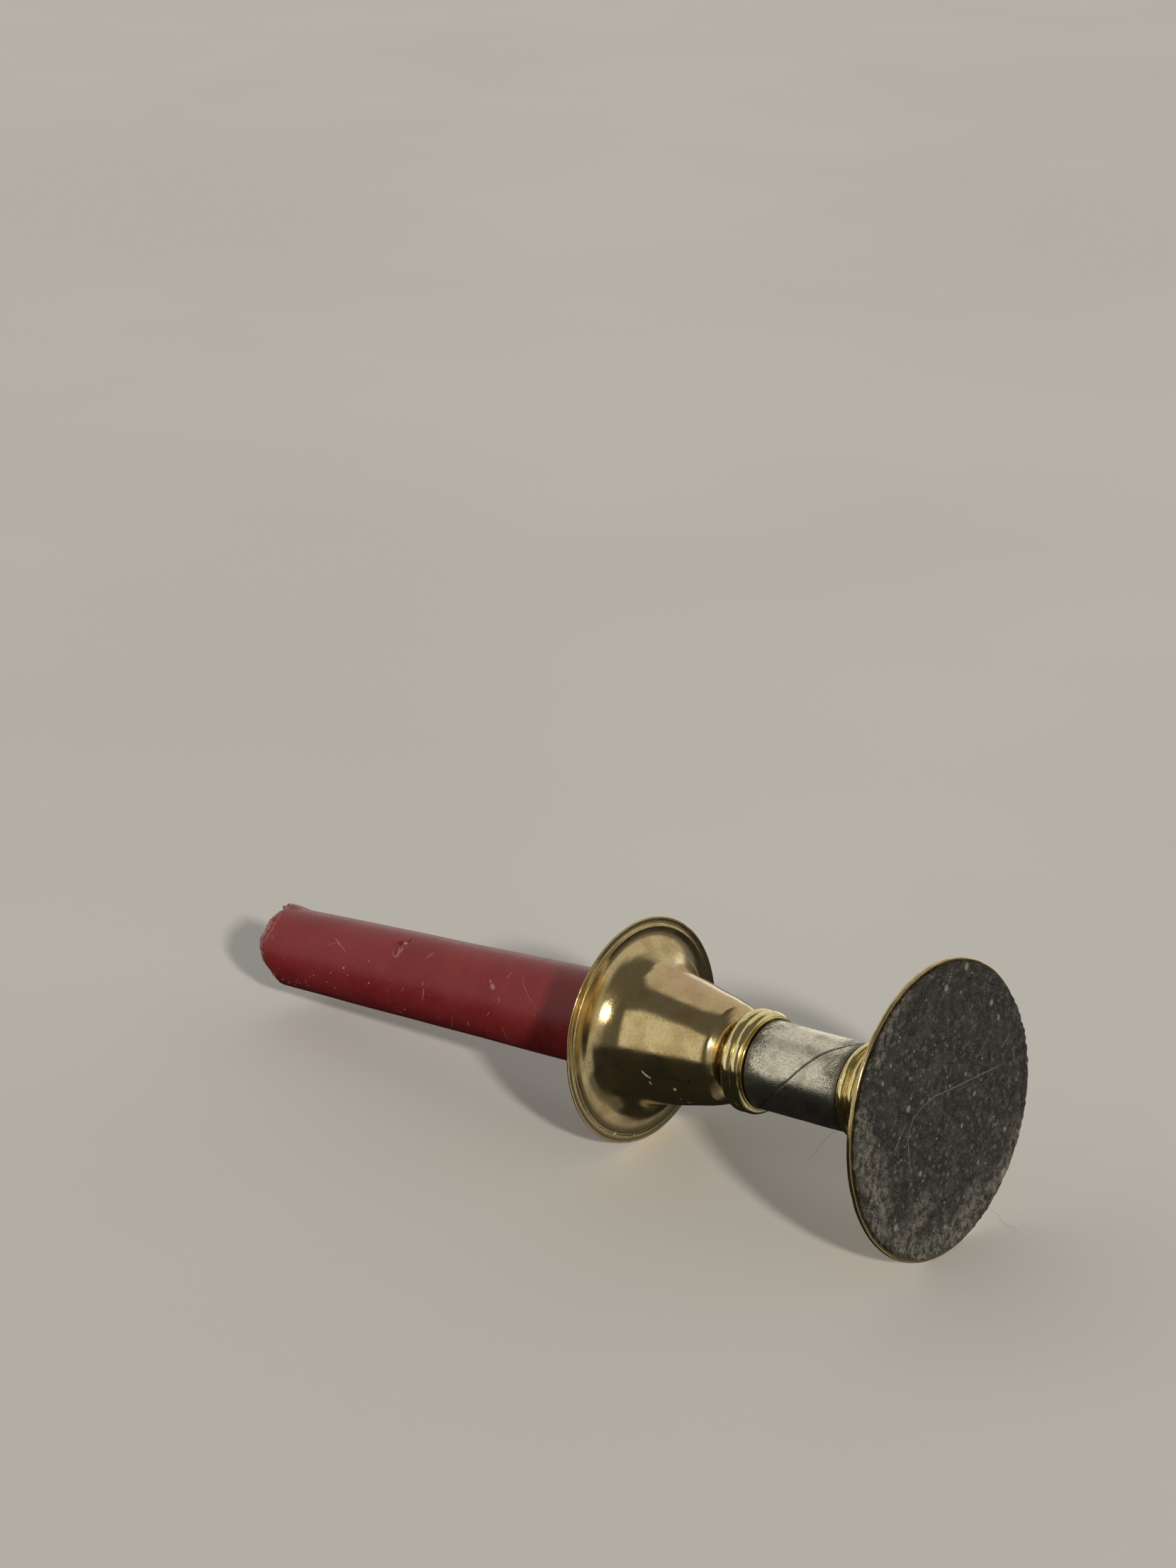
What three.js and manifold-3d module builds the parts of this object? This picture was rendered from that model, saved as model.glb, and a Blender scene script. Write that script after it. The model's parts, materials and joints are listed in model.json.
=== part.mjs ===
// A small turned candlestick lying on its side, with the burned-down stub of a taper candle in its socket.
// Millimetres, +Z up. The stick rests on two round edges: the rim of its base and the rim of its cup.
//
// Every piece is drawn upright about its own axis (local +Z runs from the base to the candle), and one
// group then lays the whole stick down, so that local +X points up and local -X points at the table.
import * as THREE from 'three';
import { mergeVertices } from 'three/addons/utils/BufferGeometryUtils.js';
import Module from 'manifold-3d';

const wasm = await Module();
wasm.setup();

// ---- driving dimensions -------------------------------------------------------------------------

const SIDES = 48;                 // flats round each turned piece; one flat faces the table
const GAP = 0.3;                  // room between neighbours

const BASE_RADIUS = 32.0;
const FELT_RADIUS = 31.0;
const FELT_THICKNESS = 0.5;
const BASE_EDGE_TOP = 1.5;        // height of the base's sharp outer edge
const FOOT_TOP = 14.9;
const FOOT_TOP_RADIUS = 9.0;
const BASE_TILT = 0.0211;         // the base is knocked a little out of square towards the table,
const BASE_SWING = 0.0126;        // and towards the front, in radians

const ROD_RADIUS = 2.4;
const ROD_BORE = 3.2;
const POCKET_RADIUS = 9.5;        // the pocket under the foot that hides the nut
const POCKET_TOP = 6.5;

const LOWER_RING_BOTTOM = FOOT_TOP + GAP;
const LOWER_RING_TOP = 20.4;
const SLEEVE_RADIUS = 9.71;
const SLEEVE_WALL = 1.2;
const SLEEVE_TOP = 44.75;
const SPIGOT_LENGTH = 2.4;

const UPPER_RING_BOTTOM = SLEEVE_TOP + GAP;
const UPPER_RING_TOP = 50.5;

const CUP_BOTTOM = UPPER_RING_TOP + GAP;
const RIM_RADIUS = 25.47;
const RIM_HEIGHT = 80.8;
const CREASE_RADIUS = 23.7;       // where the flat outer band of the rim starts
const SOCKET_RADIUS = 11.5;
const SOCKET_FLOOR = 60.4;

const CANDLE_RADIUS = 11.0;       // at the height of the cup's rim
const CANDLE_TAPER = 0.0145;      // radius lost for each millimetre of height
const CANDLE_LENGTH = 109.8;      // from the cup's rim to the broken end
const CANDLE_ROOT = 19.6;         // length held in the socket
const CANDLE_SAG = 0.0228;        // the stub leans towards the table,
const CANDLE_SWING = 0.0114;      // and towards the front, in radians
const END_SLOPE = 1.24;           // the upper side of the broken end stands this much further out
const WICK_RADIUS = 0.75;

// ---- materials ----------------------------------------------------------------------------------

const colours = {
  agedBrass: { color: 0x9c8650, roughness: 0.34, metalness: 1.0 },
  polishedBrass: { color: 0xd2b35a, roughness: 0.18, metalness: 1.0 },
  tarnishedPlate: { color: 0xa39c88, roughness: 0.3, metalness: 1.0 },
  felt: { color: 0x34332e, roughness: 0.95, metalness: 0.0 },
  wax: { color: 0x6a1d24, roughness: 0.42, metalness: 0.0 },
  charredCotton: { color: 0x1d1815, roughness: 0.9, metalness: 0.0 },
  zincSteel: { color: 0x8c8f92, roughness: 0.4, metalness: 1.0 },
};

function named(name, geometry, finish) {
  const mesh = new THREE.Mesh(geometry, new THREE.MeshStandardMaterial(finish));
  mesh.name = name;
  return mesh;
}

// ---- helpers ------------------------------------------------------------------------------------

// Turns a closed outline of (radius, height) points about Z. The outline runs anticlockwise: out along
// the bottom, up the outside, and back down the inside. Half a step of phase puts a flat at -X.
function turned(outline, divisions = 3, sides = SIDES) {
  const points = outline.getPoints(divisions);
  points.push(points[0].clone());
  const geometry = new THREE.LatheGeometry(points, sides, Math.PI / 2 + Math.PI / sides);
  geometry.rotateX(Math.PI / 2);
  return geometry;
}

function outlineFrom(radius, height) {
  const outline = new THREE.Path();
  outline.moveTo(radius, height);
  return outline;
}

function toSolid(geometry) {
  const bare = geometry.clone();
  bare.deleteAttribute('normal');
  bare.deleteAttribute('uv');
  const merged = mergeVertices(bare, 1e-4);
  const mesh = new wasm.Mesh({
    numProp: 3,
    vertProperties: new Float32Array(merged.attributes.position.array),
    triVerts: new Uint32Array(merged.index.array),
  });
  return new wasm.Manifold(mesh);
}

function toGeometry(solid) {
  const mesh = solid.getMesh();
  const geometry = new THREE.BufferGeometry();
  geometry.setAttribute('position', new THREE.BufferAttribute(mesh.vertProperties, 3));
  geometry.setIndex(new THREE.BufferAttribute(mesh.triVerts, 1));
  geometry.computeVertexNormals();
  return geometry;
}

// ---- base ---------------------------------------------------------------------------------------

// A trumpet foot on a thin round plate, bored for the rod, with a pocket underneath for the nut.
function makeBaseFoot() {
  const underside = FELT_THICKNESS + GAP;
  const outline = outlineFrom(POCKET_RADIUS, underside);
  outline.lineTo(BASE_RADIUS - 0.2, underside);
  outline.lineTo(BASE_RADIUS, underside + 0.2);
  outline.lineTo(BASE_RADIUS, BASE_EDGE_TOP);
  outline.lineTo(BASE_RADIUS - 3.2, BASE_EDGE_TOP + 0.4);
  outline.bezierCurveTo(18, 3.0, 10.4, 5.0, FOOT_TOP_RADIUS + 0.4, 12.6);
  outline.lineTo(FOOT_TOP_RADIUS, FOOT_TOP);
  outline.lineTo(ROD_BORE, FOOT_TOP);
  outline.lineTo(ROD_BORE, POCKET_TOP);
  outline.lineTo(POCKET_RADIUS, POCKET_TOP);
  return named('base_foot', turned(outline, 8), colours.agedBrass);
}

function makeBaseFelt() {
  const outline = outlineFrom(0, 0);
  outline.lineTo(FELT_RADIUS, 0);
  outline.lineTo(FELT_RADIUS, FELT_THICKNESS);
  outline.lineTo(0, FELT_THICKNESS);
  return named('base_felt', turned(outline), colours.felt);
}

// ---- the rod that pulls the stick together ------------------------------------------------------

function makeTieRod() {
  const rodBottom = 1.6;
  const rodTop = 58.0;
  const rod = new THREE.CylinderGeometry(ROD_RADIUS, ROD_RADIUS, rodTop - rodBottom, 16);
  rod.rotateX(Math.PI / 2);
  rod.translate(0, 0, (rodTop + rodBottom) / 2);
  return named('tie_rod', rod, colours.zincSteel);
}

function makeBaseNut() {
  const acrossFlats = 8;
  const height = 3.0;
  const bottom = 1.9;
  const corner = acrossFlats / Math.sqrt(3);
  const hexagon = new THREE.Shape();
  for (let side = 0; side < 6; side += 1) {
    const angle = (side * Math.PI) / 3;
    const x = corner * Math.cos(angle);
    const y = corner * Math.sin(angle);
    if (side === 0) hexagon.moveTo(x, y);
    else hexagon.lineTo(x, y);
  }
  const hole = new THREE.Path();
  hole.absarc(0, 0, ROD_RADIUS + GAP, 0, Math.PI * 2, true);
  hexagon.holes.push(hole);
  const nut = new THREE.ExtrudeGeometry(hexagon, {
    depth: height,
    bevelEnabled: false,
    curveSegments: 8,
  });
  nut.translate(0, 0, bottom);
  return named('base_nut', nut, colours.zincSteel);
}

function makeBaseWasher() {
  const hole = ROD_RADIUS + 0.4;
  const radius = 5.5;
  const bottom = 5.2;
  const top = 6.0;
  const outline = outlineFrom(hole, bottom);
  outline.lineTo(radius, bottom);
  outline.lineTo(radius, top);
  outline.lineTo(hole, top);
  return named('base_washer', turned(outline, 1, 24), colours.zincSteel);
}

// ---- stem ---------------------------------------------------------------------------------------

// A half-round bead standing on the outside of a ring, from its lower flank to its upper flank.
function addBead(outline, height, centreRadius, beadRadius, from, to) {
  outline.absarc(centreRadius, height, beadRadius, from, to, false);
}

function makeLowerRing() {
  const bead = 1.1;
  const outline = outlineFrom(ROD_BORE, LOWER_RING_BOTTOM);
  outline.lineTo(9.4, LOWER_RING_BOTTOM);
  addBead(outline, 16.7, 9.5, bead, -1.4, 1.2);
  addBead(outline, 19.1, 9.5, bead, -1.2, 1.4);
  outline.lineTo(9.75, LOWER_RING_TOP);
  outline.lineTo(8.1, LOWER_RING_TOP);
  outline.lineTo(8.1, LOWER_RING_TOP + SPIGOT_LENGTH);
  outline.lineTo(ROD_BORE, LOWER_RING_TOP + SPIGOT_LENGTH);
  return named('lower_ring', turned(outline, 2), colours.polishedBrass);
}

function makeStemSleeve() {
  const bottom = LOWER_RING_TOP + GAP;
  const outline = outlineFrom(SLEEVE_RADIUS - SLEEVE_WALL, bottom);
  outline.lineTo(SLEEVE_RADIUS, bottom);
  outline.lineTo(SLEEVE_RADIUS, SLEEVE_TOP);
  outline.lineTo(SLEEVE_RADIUS - SLEEVE_WALL, SLEEVE_TOP);
  return named('stem_sleeve', turned(outline), colours.tarnishedPlate);
}

// Two heavy beads with a sharp groove between them, over a thin lip round the sleeve.
function makeUpperRing() {
  const spigotBottom = UPPER_RING_BOTTOM - SPIGOT_LENGTH;
  const lipTop = UPPER_RING_BOTTOM + 0.35;
  const outline = outlineFrom(ROD_BORE, spigotBottom);
  outline.lineTo(8.1, spigotBottom);
  outline.lineTo(8.1, UPPER_RING_BOTTOM);
  outline.lineTo(10.3, UPPER_RING_BOTTOM);
  outline.lineTo(10.3, lipTop);
  outline.lineTo(10.0, lipTop + 0.15);
  addBead(outline, 46.8, 9.88, 1.44, -0.95, 0.82);
  addBead(outline, 49.0, 9.7, 1.63, -0.78, 1.15);
  outline.lineTo(9.6, UPPER_RING_TOP);
  outline.lineTo(ROD_BORE, UPPER_RING_TOP);
  return named('upper_ring', turned(outline, 3), colours.polishedBrass);
}

// ---- cup ----------------------------------------------------------------------------------------

// A bell on a small neck that sweeps out into a thin flared rim, which catches the wax.
function makeCandleCup() {
  const outline = outlineFrom(ROD_RADIUS + GAP, CUP_BOTTOM);
  outline.lineTo(8.5, CUP_BOTTOM);
  outline.lineTo(8.9, CUP_BOTTOM + 0.3);
  outline.lineTo(8.9, CUP_BOTTOM + 0.8);
  outline.lineTo(8.2, CUP_BOTTOM + 1.3);
  outline.quadraticCurveTo(8.3, 52.6, 10.1, 53.9);
  outline.splineThru([
    new THREE.Vector2(11.2, 55.4),
    new THREE.Vector2(11.9, 57.6),
    new THREE.Vector2(12.85, 61.95),
    new THREE.Vector2(13.75, 66.2),
    new THREE.Vector2(14.98, 72.6),
    new THREE.Vector2(16.2, 75.9),
    new THREE.Vector2(17.6, 77.6),
    new THREE.Vector2(19.1, 78.93),
    new THREE.Vector2(20.5, 79.74),
    new THREE.Vector2(21.8, 80.12),
  ]);
  outline.lineTo(CREASE_RADIUS - 0.2, RIM_HEIGHT - 0.75);
  outline.lineTo(CREASE_RADIUS + 0.2, RIM_HEIGHT - 0.4);
  outline.lineTo(RIM_RADIUS, RIM_HEIGHT - 0.35);
  outline.lineTo(RIM_RADIUS, RIM_HEIGHT);
  outline.lineTo(CREASE_RADIUS, RIM_HEIGHT);
  outline.quadraticCurveTo(16.5, 79.8, SOCKET_RADIUS + 0.5, 78.2);
  outline.lineTo(SOCKET_RADIUS, 77.6);
  outline.lineTo(SOCKET_RADIUS - 0.5, SOCKET_FLOOR);
  outline.lineTo(0, SOCKET_FLOOR);
  outline.lineTo(0, 58.5);
  outline.lineTo(ROD_RADIUS + GAP, 58.5);
  return named('candle_cup', turned(outline, 2), colours.agedBrass);
}

// ---- candle -------------------------------------------------------------------------------------

function candleRadius(height) {
  return CANDLE_RADIUS - CANDLE_TAPER * height;
}

// A smooth swelling of height 1 round one angle. The angle is 0 at the top of the lying candle and
// grows towards its front side.
function swelling(angle, centre, width) {
  return Math.exp(-(((angle - centre) / width) ** 2));
}

// A torn tongue of wax stands out just behind the top.
function tongue(angle) {
  return swelling(angle, -0.42, 0.17);
}

// How far the broken end stands beyond the mean length.
function endRag(angle) {
  const ripple = 0.28 * Math.sin(5 * angle + 0.7) + 0.17 * Math.sin(11 * angle + 2.1);
  const frontLedge = 0.85 * swelling(angle, 1.13, 0.5);
  return END_SLOPE * Math.cos(angle) + ripple + frontLedge + 3.2 * tongue(angle);
}

// Height is measured from the cup's rim. The end is dished by the pool of wax that melted there.
function makeCandle() {
  const poolDepth = 2.6;
  const hole = WICK_RADIUS + GAP;
  const tipRadius = candleRadius(CANDLE_LENGTH);
  const outline = outlineFrom(hole, -CANDLE_ROOT);
  outline.lineTo(9.5, -CANDLE_ROOT);
  outline.lineTo(9.9, -CANDLE_ROOT + 0.5);
  outline.lineTo(candleRadius(0), -3);
  for (const height of [30, 62, 90, 103, 106.5]) {
    outline.lineTo(candleRadius(height), height);
  }
  outline.lineTo(tipRadius, CANDLE_LENGTH - 0.4);
  outline.lineTo(tipRadius - 0.4, CANDLE_LENGTH);
  outline.lineTo(tipRadius - 1.3, CANDLE_LENGTH - 0.5);
  outline.lineTo(tipRadius - 2.6, CANDLE_LENGTH - poolDepth + 0.3);
  outline.lineTo(hole, CANDLE_LENGTH - poolDepth);

  const body = turned(outline, 1, 60);
  const position = body.attributes.position;
  const point = new THREE.Vector3();
  for (let index = 0; index < position.count; index += 1) {
    point.fromBufferAttribute(position, index);
    const radius = Math.hypot(point.x, point.y);
    const angle = Math.atan2(-point.y, point.x);
    const nearEnd = THREE.MathUtils.smoothstep(point.z, 102, CANDLE_LENGTH - 0.6);
    const nearRim = THREE.MathUtils.smoothstep(radius, tipRadius - 2.2, tipRadius - 0.5);
    if (radius > hole + 0.1) {
      const flare = 1 + (0.05 * tongue(angle) * nearEnd * nearRim);
      const shift = nearEnd * nearRim * endRag(angle);
      position.setXYZ(index, point.x * flare, point.y * flare, point.z + shift);
    }
  }

  // A small pit dug into the wax about halfway along.
  const pitHeight = 65.5;
  const pitAngle = 0.33;
  const pit = new THREE.SphereGeometry(1, 10, 6);
  pit.scale(0.7, 1.5, 0.55);
  pit.translate(candleRadius(pitHeight) + 0.05, 0, pitHeight);
  pit.rotateZ(-pitAngle);
  const candle = toSolid(body).subtract(toSolid(pit));
  return named('candle', toGeometry(candle), colours.wax);
}

// The wick runs the length of the candle. Its burned end curls over in the hollow of the melted pool.
function makeWick() {
  const poolFloor = CANDLE_LENGTH - 2.6;
  const path = new THREE.CatmullRomCurve3([
    new THREE.Vector3(0, 0, -CANDLE_ROOT + 0.6),
    new THREE.Vector3(0, 0, 40),
    new THREE.Vector3(0, 0, poolFloor - 4),
    new THREE.Vector3(0, 0, poolFloor + 0.6),
    new THREE.Vector3(-0.5, 0.4, poolFloor + 2.8),
    new THREE.Vector3(-1.7, 1.0, poolFloor + 4.6),
  ]);
  const section = new THREE.Shape();
  section.absarc(0, 0, WICK_RADIUS, 0, Math.PI * 2, false);
  const wick = new THREE.ExtrudeGeometry(section, {
    steps: 26,
    curveSegments: 4,
    bevelEnabled: false,
    extrudePath: path,
  });
  return named('wick', wick, colours.charredCotton);
}

// ---- assembly -----------------------------------------------------------------------------------

const base = new THREE.Group();
base.rotation.set(BASE_SWING, -BASE_TILT, 0);
base.add(makeBaseFoot(), makeBaseFelt());

const candle = new THREE.Group();
candle.rotation.set(CANDLE_SWING, -CANDLE_SAG, 0);
candle.position.set(0.12, 0.06, RIM_HEIGHT);
candle.add(makeCandle(), makeWick());

const stick = new THREE.Group();
stick.add(base, makeTieRod(), makeBaseNut(), makeBaseWasher());
stick.add(makeLowerRing(), makeStemSleeve(), makeUpperRing(), makeCandleCup(), candle);

// The stick lies on the lowest corner of its base and the lowest corner of its rim. Both are flats, a
// little nearer the axis than the round edge, and the base's corner has swung with the base's tilt.
const flat = Math.cos(Math.PI / SIDES);
const baseDepth = BASE_RADIUS * flat * Math.cos(BASE_TILT) + BASE_EDGE_TOP * Math.sin(BASE_TILT);
const baseHeight = BASE_EDGE_TOP * Math.cos(BASE_TILT) - BASE_RADIUS * flat * Math.sin(BASE_TILT);
const dip = Math.atan2(baseDepth - RIM_RADIUS * flat, RIM_HEIGHT - baseHeight);
stick.rotation.y = -(Math.PI / 2 + dip);

const box = new THREE.Box3().setFromObject(stick, true);
const middle = box.getCenter(new THREE.Vector3());
stick.position.set(-middle.x, -middle.y, -box.min.z);

const model = new THREE.Group();
model.add(stick);

export default model;
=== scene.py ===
# %% [markdown]
# # A burned-down candle in a small brass candlestick
#
# The candlestick lies on its side, resting on the edge of its base and the rim of its cup, with the
# stub of a burgundy taper still in the socket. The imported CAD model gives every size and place. Here
# each visible piece is modelled again at those sizes with the fine shape and finish that a hand would
# feel: rounded edges, nicks, a torn wax end, tarnish, dust and lint.

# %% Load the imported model
import json
import math

import bmesh
import bpy
import numpy as np
from mathutils import Matrix, Vector


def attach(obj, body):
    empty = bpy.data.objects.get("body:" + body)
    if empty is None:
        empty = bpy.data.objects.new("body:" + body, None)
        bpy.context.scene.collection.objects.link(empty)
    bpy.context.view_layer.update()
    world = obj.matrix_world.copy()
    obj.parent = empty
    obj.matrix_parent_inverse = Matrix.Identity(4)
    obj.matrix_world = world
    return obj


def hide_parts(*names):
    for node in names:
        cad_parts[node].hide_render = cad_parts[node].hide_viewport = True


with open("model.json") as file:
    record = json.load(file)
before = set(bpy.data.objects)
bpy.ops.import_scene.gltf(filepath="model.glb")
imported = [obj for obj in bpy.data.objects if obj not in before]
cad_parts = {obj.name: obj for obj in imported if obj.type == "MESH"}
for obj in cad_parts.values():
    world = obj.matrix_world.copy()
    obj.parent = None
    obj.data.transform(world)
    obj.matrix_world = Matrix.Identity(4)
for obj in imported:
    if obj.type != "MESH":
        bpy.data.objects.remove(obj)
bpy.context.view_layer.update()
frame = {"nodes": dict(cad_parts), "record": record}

# %% [markdown]
# ## Where the pieces lie
#
# Everything on the stick was turned on a lathe, so it is easiest to model upright about one axis and
# then laid down. The tie rod gives that axis, because it is a plain straight bar. The centre of the
# felt under the base gives its starting point. The base and the candle each lean a little from the
# stick, by the same small angles as in the CAD.

# %% The stick's own axes: local z runs towards the candle, local x points up
MM = 0.001
BASE_TILT, BASE_SWING = 0.0211, 0.0126
CANDLE_SAG, CANDLE_SWING = 0.0228, 0.0114
RIM_HEIGHT = 80.8

rod = np.array([v.co for v in frame["nodes"]["tie_rod"].data.vertices])
along = Vector(np.linalg.svd(rod - rod.mean(0))[2][0])
along *= -math.copysign(1, along.x)
back = Vector((0, 1, 0))
up = back.cross(along).normalized()
felt_centre = Vector(frame["record"]["mounts"][0]["pos_m"])

stick = Matrix((up, back, along)).transposed().to_4x4()
stick.translation = felt_centre
base = stick @ Matrix.Rotation(BASE_SWING, 4, "X") @ Matrix.Rotation(-BASE_TILT, 4, "Y")
candle_foot = Matrix.Translation(Vector((0.12, 0.06, RIM_HEIGHT)) * MM)
candle = stick @ candle_foot @ Matrix.Rotation(CANDLE_SWING, 4, "X") @ Matrix.Rotation(-CANDLE_SAG, 4, "Y")
print("the stick's axis dips", round(math.degrees(math.asin(-along.z)), 2), "degrees towards the candle")

# %% [markdown]
# ## Turning
#
# A lathe cuts a profile that is the same all the way round. The `skin` helper takes a radius and a
# height for every ring and every angle, so the same helper also makes worn pieces, whose radius
# changes a little with the angle. Angle 0 is the top of the lying stick, and it grows to the front.
# Profiles are lists of (radius, height) in millimetres, drawn with the lines, arcs and smooth curves
# that a turner would mark out.

# %% Profile helpers
def arc(radius, height, bend, start, end, steps=10):
    """Part of a circle of radius `bend` round (radius, height). Angles in degrees, 0 pointing outwards."""
    turn = np.radians(np.linspace(start, end, steps + 1))
    return [(radius + bend * math.cos(t), height + bend * math.sin(t)) for t in turn]


def curve(points, steps=6):
    """A smooth line through all the points."""
    p = np.array(points, float)
    p = np.vstack([2 * p[0] - p[1], p, 2 * p[-1] - p[-2]])
    made = []
    for i in range(1, len(p) - 2):
        for t in np.arange(steps) / steps:
            a = 2 * p[i]
            b = p[i + 1] - p[i - 1]
            c = 2 * p[i - 1] - 5 * p[i] + 4 * p[i + 1] - p[i + 2]
            d = -p[i - 1] + 3 * p[i] - 3 * p[i + 1] + p[i + 2]
            made.append(tuple((a + b * t + c * t**2 + d * t**3) / 2))
    return made + [tuple(points[-1])]


def swept(start, pull_a, pull_b, end, steps=10):
    """A Bezier curve from start to end, pulled towards the two middle points."""
    s, a, b, e = (np.array(p, float) for p in (start, pull_a, pull_b, end))
    return [tuple(s * (1 - t)**3 + 3 * a * t * (1 - t)**2 + 3 * b * t**2 * (1 - t) + e * t**3)
            for t in np.linspace(0, 1, steps + 1)]


def smooth_step(value, low, high):
    t = np.clip((value - low) / (high - low), 0, 1)
    return t * t * (3 - 2 * t)


# %% The skin helper
def angles(sides):
    return np.arange(sides) * 2 * math.pi / sides


def placed(name, mesh, place):
    """The mesh as a smooth piece in its place, riding on the object's one body."""
    mesh.shade_smooth()
    piece = bpy.data.objects.new(name, mesh)
    bpy.context.scene.collection.objects.link(piece)
    piece.matrix_world = place
    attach(piece, "root")
    return piece


def skin(name, radius, height, place, replaces, sharp=35):
    """A closed skin of rings. radius and height are arrays (rings, sides) in mm, one column per angle."""
    rings, sides = radius.shape
    turn = angles(sides)
    points = np.stack([radius * np.cos(turn), -radius * np.sin(turn), height], -1) * MM
    number = np.arange(rings * sides).reshape(rings, sides)
    ahead = np.roll(number, -1, 1)
    above = np.roll(number, -1, 0)
    faces = np.stack([number, ahead, np.roll(ahead, -1, 0), above], -1)
    ends_on_axis = radius[0].max() < 1e-6 and radius[-1].max() < 1e-6
    if ends_on_axis:
        faces = faces[:-1]
    mesh = bpy.data.meshes.new(name)
    mesh.from_pydata(points.reshape(-1, 3).tolist(), [], faces.reshape(-1, 4).tolist())
    work = bmesh.new()
    work.from_mesh(mesh)
    bmesh.ops.remove_doubles(work, verts=work.verts, dist=1e-7)
    bmesh.ops.recalc_face_normals(work, faces=work.faces)
    work.to_mesh(mesh)
    work.free()
    piece = placed(name, mesh, place)
    mesh.set_sharp_from_angle(angle=math.radians(sharp))
    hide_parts(replaces)
    print(name, "has", len(mesh.polygons), "faces")
    return piece


def turned(outline, sides):
    """The outline repeated round every angle, ready for wear and then for skin()."""
    points = np.array(outline, float)
    return points[:, :1].repeat(sides, 1), points[:, 1:].repeat(sides, 1)


def ragged(turn, seed, coarse, fine, size):
    """A rough line round the piece: waves from `coarse` to `fine` ripples a turn, `size` mm high."""
    dice = np.random.default_rng(seed)
    line = np.zeros_like(turn)
    for ripples in range(coarse, fine + 1):
        line += dice.normal() * np.sin(ripples * turn + dice.uniform(0, 2 * math.pi)) / math.sqrt(ripples)
    return size * line / max(line.std(), 1e-9)


def resting(radius, turn, flat):
    """Keeps the underside of the lying piece at its flat, `flat` mm from the axis, so that nothing sinks."""
    return np.minimum(radius, flat / np.maximum(-np.cos(turn), 0.5))


def bump_at(turn, height, at_turn, at_height, wide, tall):
    """A round swelling, 1 at its middle. Sizes in degrees and mm."""
    off = (np.degrees(turn) - at_turn + 180) % 360 - 180
    return np.exp(-(off / wide)**2 - ((height - at_height) / tall)**2)


# %% [markdown]
# ## Base
#
# The base is a thin brass plate that sweeps up into a trumpet-shaped foot. It was turned from one
# casting, so it is one profile. The rim has been knocked in a few places over the years, so small
# swellings are taken out of its radius.

# %% Foot
FOOT_SIDES = 320
FOOT_FLAT = 31.93    # how far from the axis the resting edge of the base may reach, in mm
foot_outline = [
    (9.5, 0.6), (20.0, 0.6), (30.4, 0.6), (31.3, 0.62),
    *arc(31.75, 0.87, 0.25, -90, 0, 4), *arc(31.75, 1.25, 0.25, 0, 90, 4), (31.3, 1.53), (30.0, 1.7),
    *swept((28.8, 1.9), (18.0, 3.0), (10.4, 5.0), (9.4, 12.6), 40),
    (9.2, 13.8), *arc(8.8, 14.7, 0.2, 0, 90, 3),
    (3.2, 14.9), (3.2, 6.5), (9.5, 6.5),
]
foot_r, foot_z = turned(foot_outline, FOOT_SIDES)
foot_turn = angles(FOOT_SIDES)[None, :]
edge = smooth_step(foot_r, 31.0, 32.0)
foot_knocks = ((12, 2.0, 0.18), (38, 1.2, 0.12), (71, 2.6, 0.2), (104, 1.0, 0.14), (133, 1.6, 0.1),
               (198, 1.4, 0.15), (228, 1.0, 0.16), (262, 2.2, 0.12), (301, 1.3, 0.18), (333, 1.8, 0.1))
for at, wide, deep in foot_knocks:
    foot_r -= 0.5 * deep * edge * bump_at(foot_turn, 0, at, 0, wide, 1)
foot_r += edge * ragged(foot_turn, 3, 8, 60, 0.02)
foot_r = resting(foot_r, foot_turn, FOOT_FLAT)
foot = skin("base_foot_turned", foot_r, foot_z, base, "base_foot")

# %% [markdown]
# ## Felt
#
# A disc of felt is glued under the base so that it doesn't scratch the table. It was cut by hand and
# set a little off the middle, so its edge is ragged and stands over the brass on the far side. Ripples
# on the radius give both, and a fine scatter of heights gives the face its nap.

# %% Felt
FELT_RADIUS, FELT_SIDES = 31.0, 360
felt_outline = [(0, 0.55), (15, 0.55), (FELT_RADIUS - 0.3, 0.55), (FELT_RADIUS - 0.05, 0.45),
                (FELT_RADIUS, 0.25), (FELT_RADIUS - 0.15, 0.04)]
felt_outline += [(FELT_RADIUS - 0.4 - 0.6 * step, 0.0) for step in range(51)] + [(0, 0)]
felt_r, felt_z = turned(felt_outline, FELT_SIDES)
felt_turn = angles(FELT_SIDES)[None, :]
felt_edge = smooth_step(felt_r, FELT_RADIUS - 0.9, FELT_RADIUS - 0.1)
overhang = bump_at(felt_turn, 0, 270, 0, 50, 1)
felt_r += felt_edge * (0.14 + ragged(felt_turn, 11, 20, 150, 0.1) + ragged(felt_turn, 12, 2, 6, 0.05))
felt_r += felt_edge * overhang * (0.55 + ragged(felt_turn, 16, 60, 140, 0.11))
dice = np.random.default_rng(5)
pile = dice.normal(0, 0.012, felt_r.shape) * (felt_r > 0.5)
felt_z += pile * (felt_z < 0.3)
felt = skin("base_felt_disc", felt_r, felt_z, base, "base_felt", sharp=80)

# %% [markdown]
# ## Rings
#
# Two bright rings cover the joints of the stem. Each is a pair of half-round beads cut side by side,
# with a sharp groove between them. They are full circles in the profile, so they are drawn as arcs.
# Hand polishing has left the beads very slightly uneven, which is what makes the highlights wander.

# %% Lower and upper ring
RING_SIDES = 300


def ring(name, outline, seed, node):
    r, z = turned(outline, RING_SIDES)
    turn = angles(RING_SIDES)[None, :]
    unevenness = ragged(turn, seed, 3, 14, 0.012) + ragged(turn + z, seed + 1, 20, 60, 0.004)
    r += smooth_step(r, 9.0, 9.6) * unevenness
    return skin(name, r, z, stick, node, sharp=50)


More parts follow.
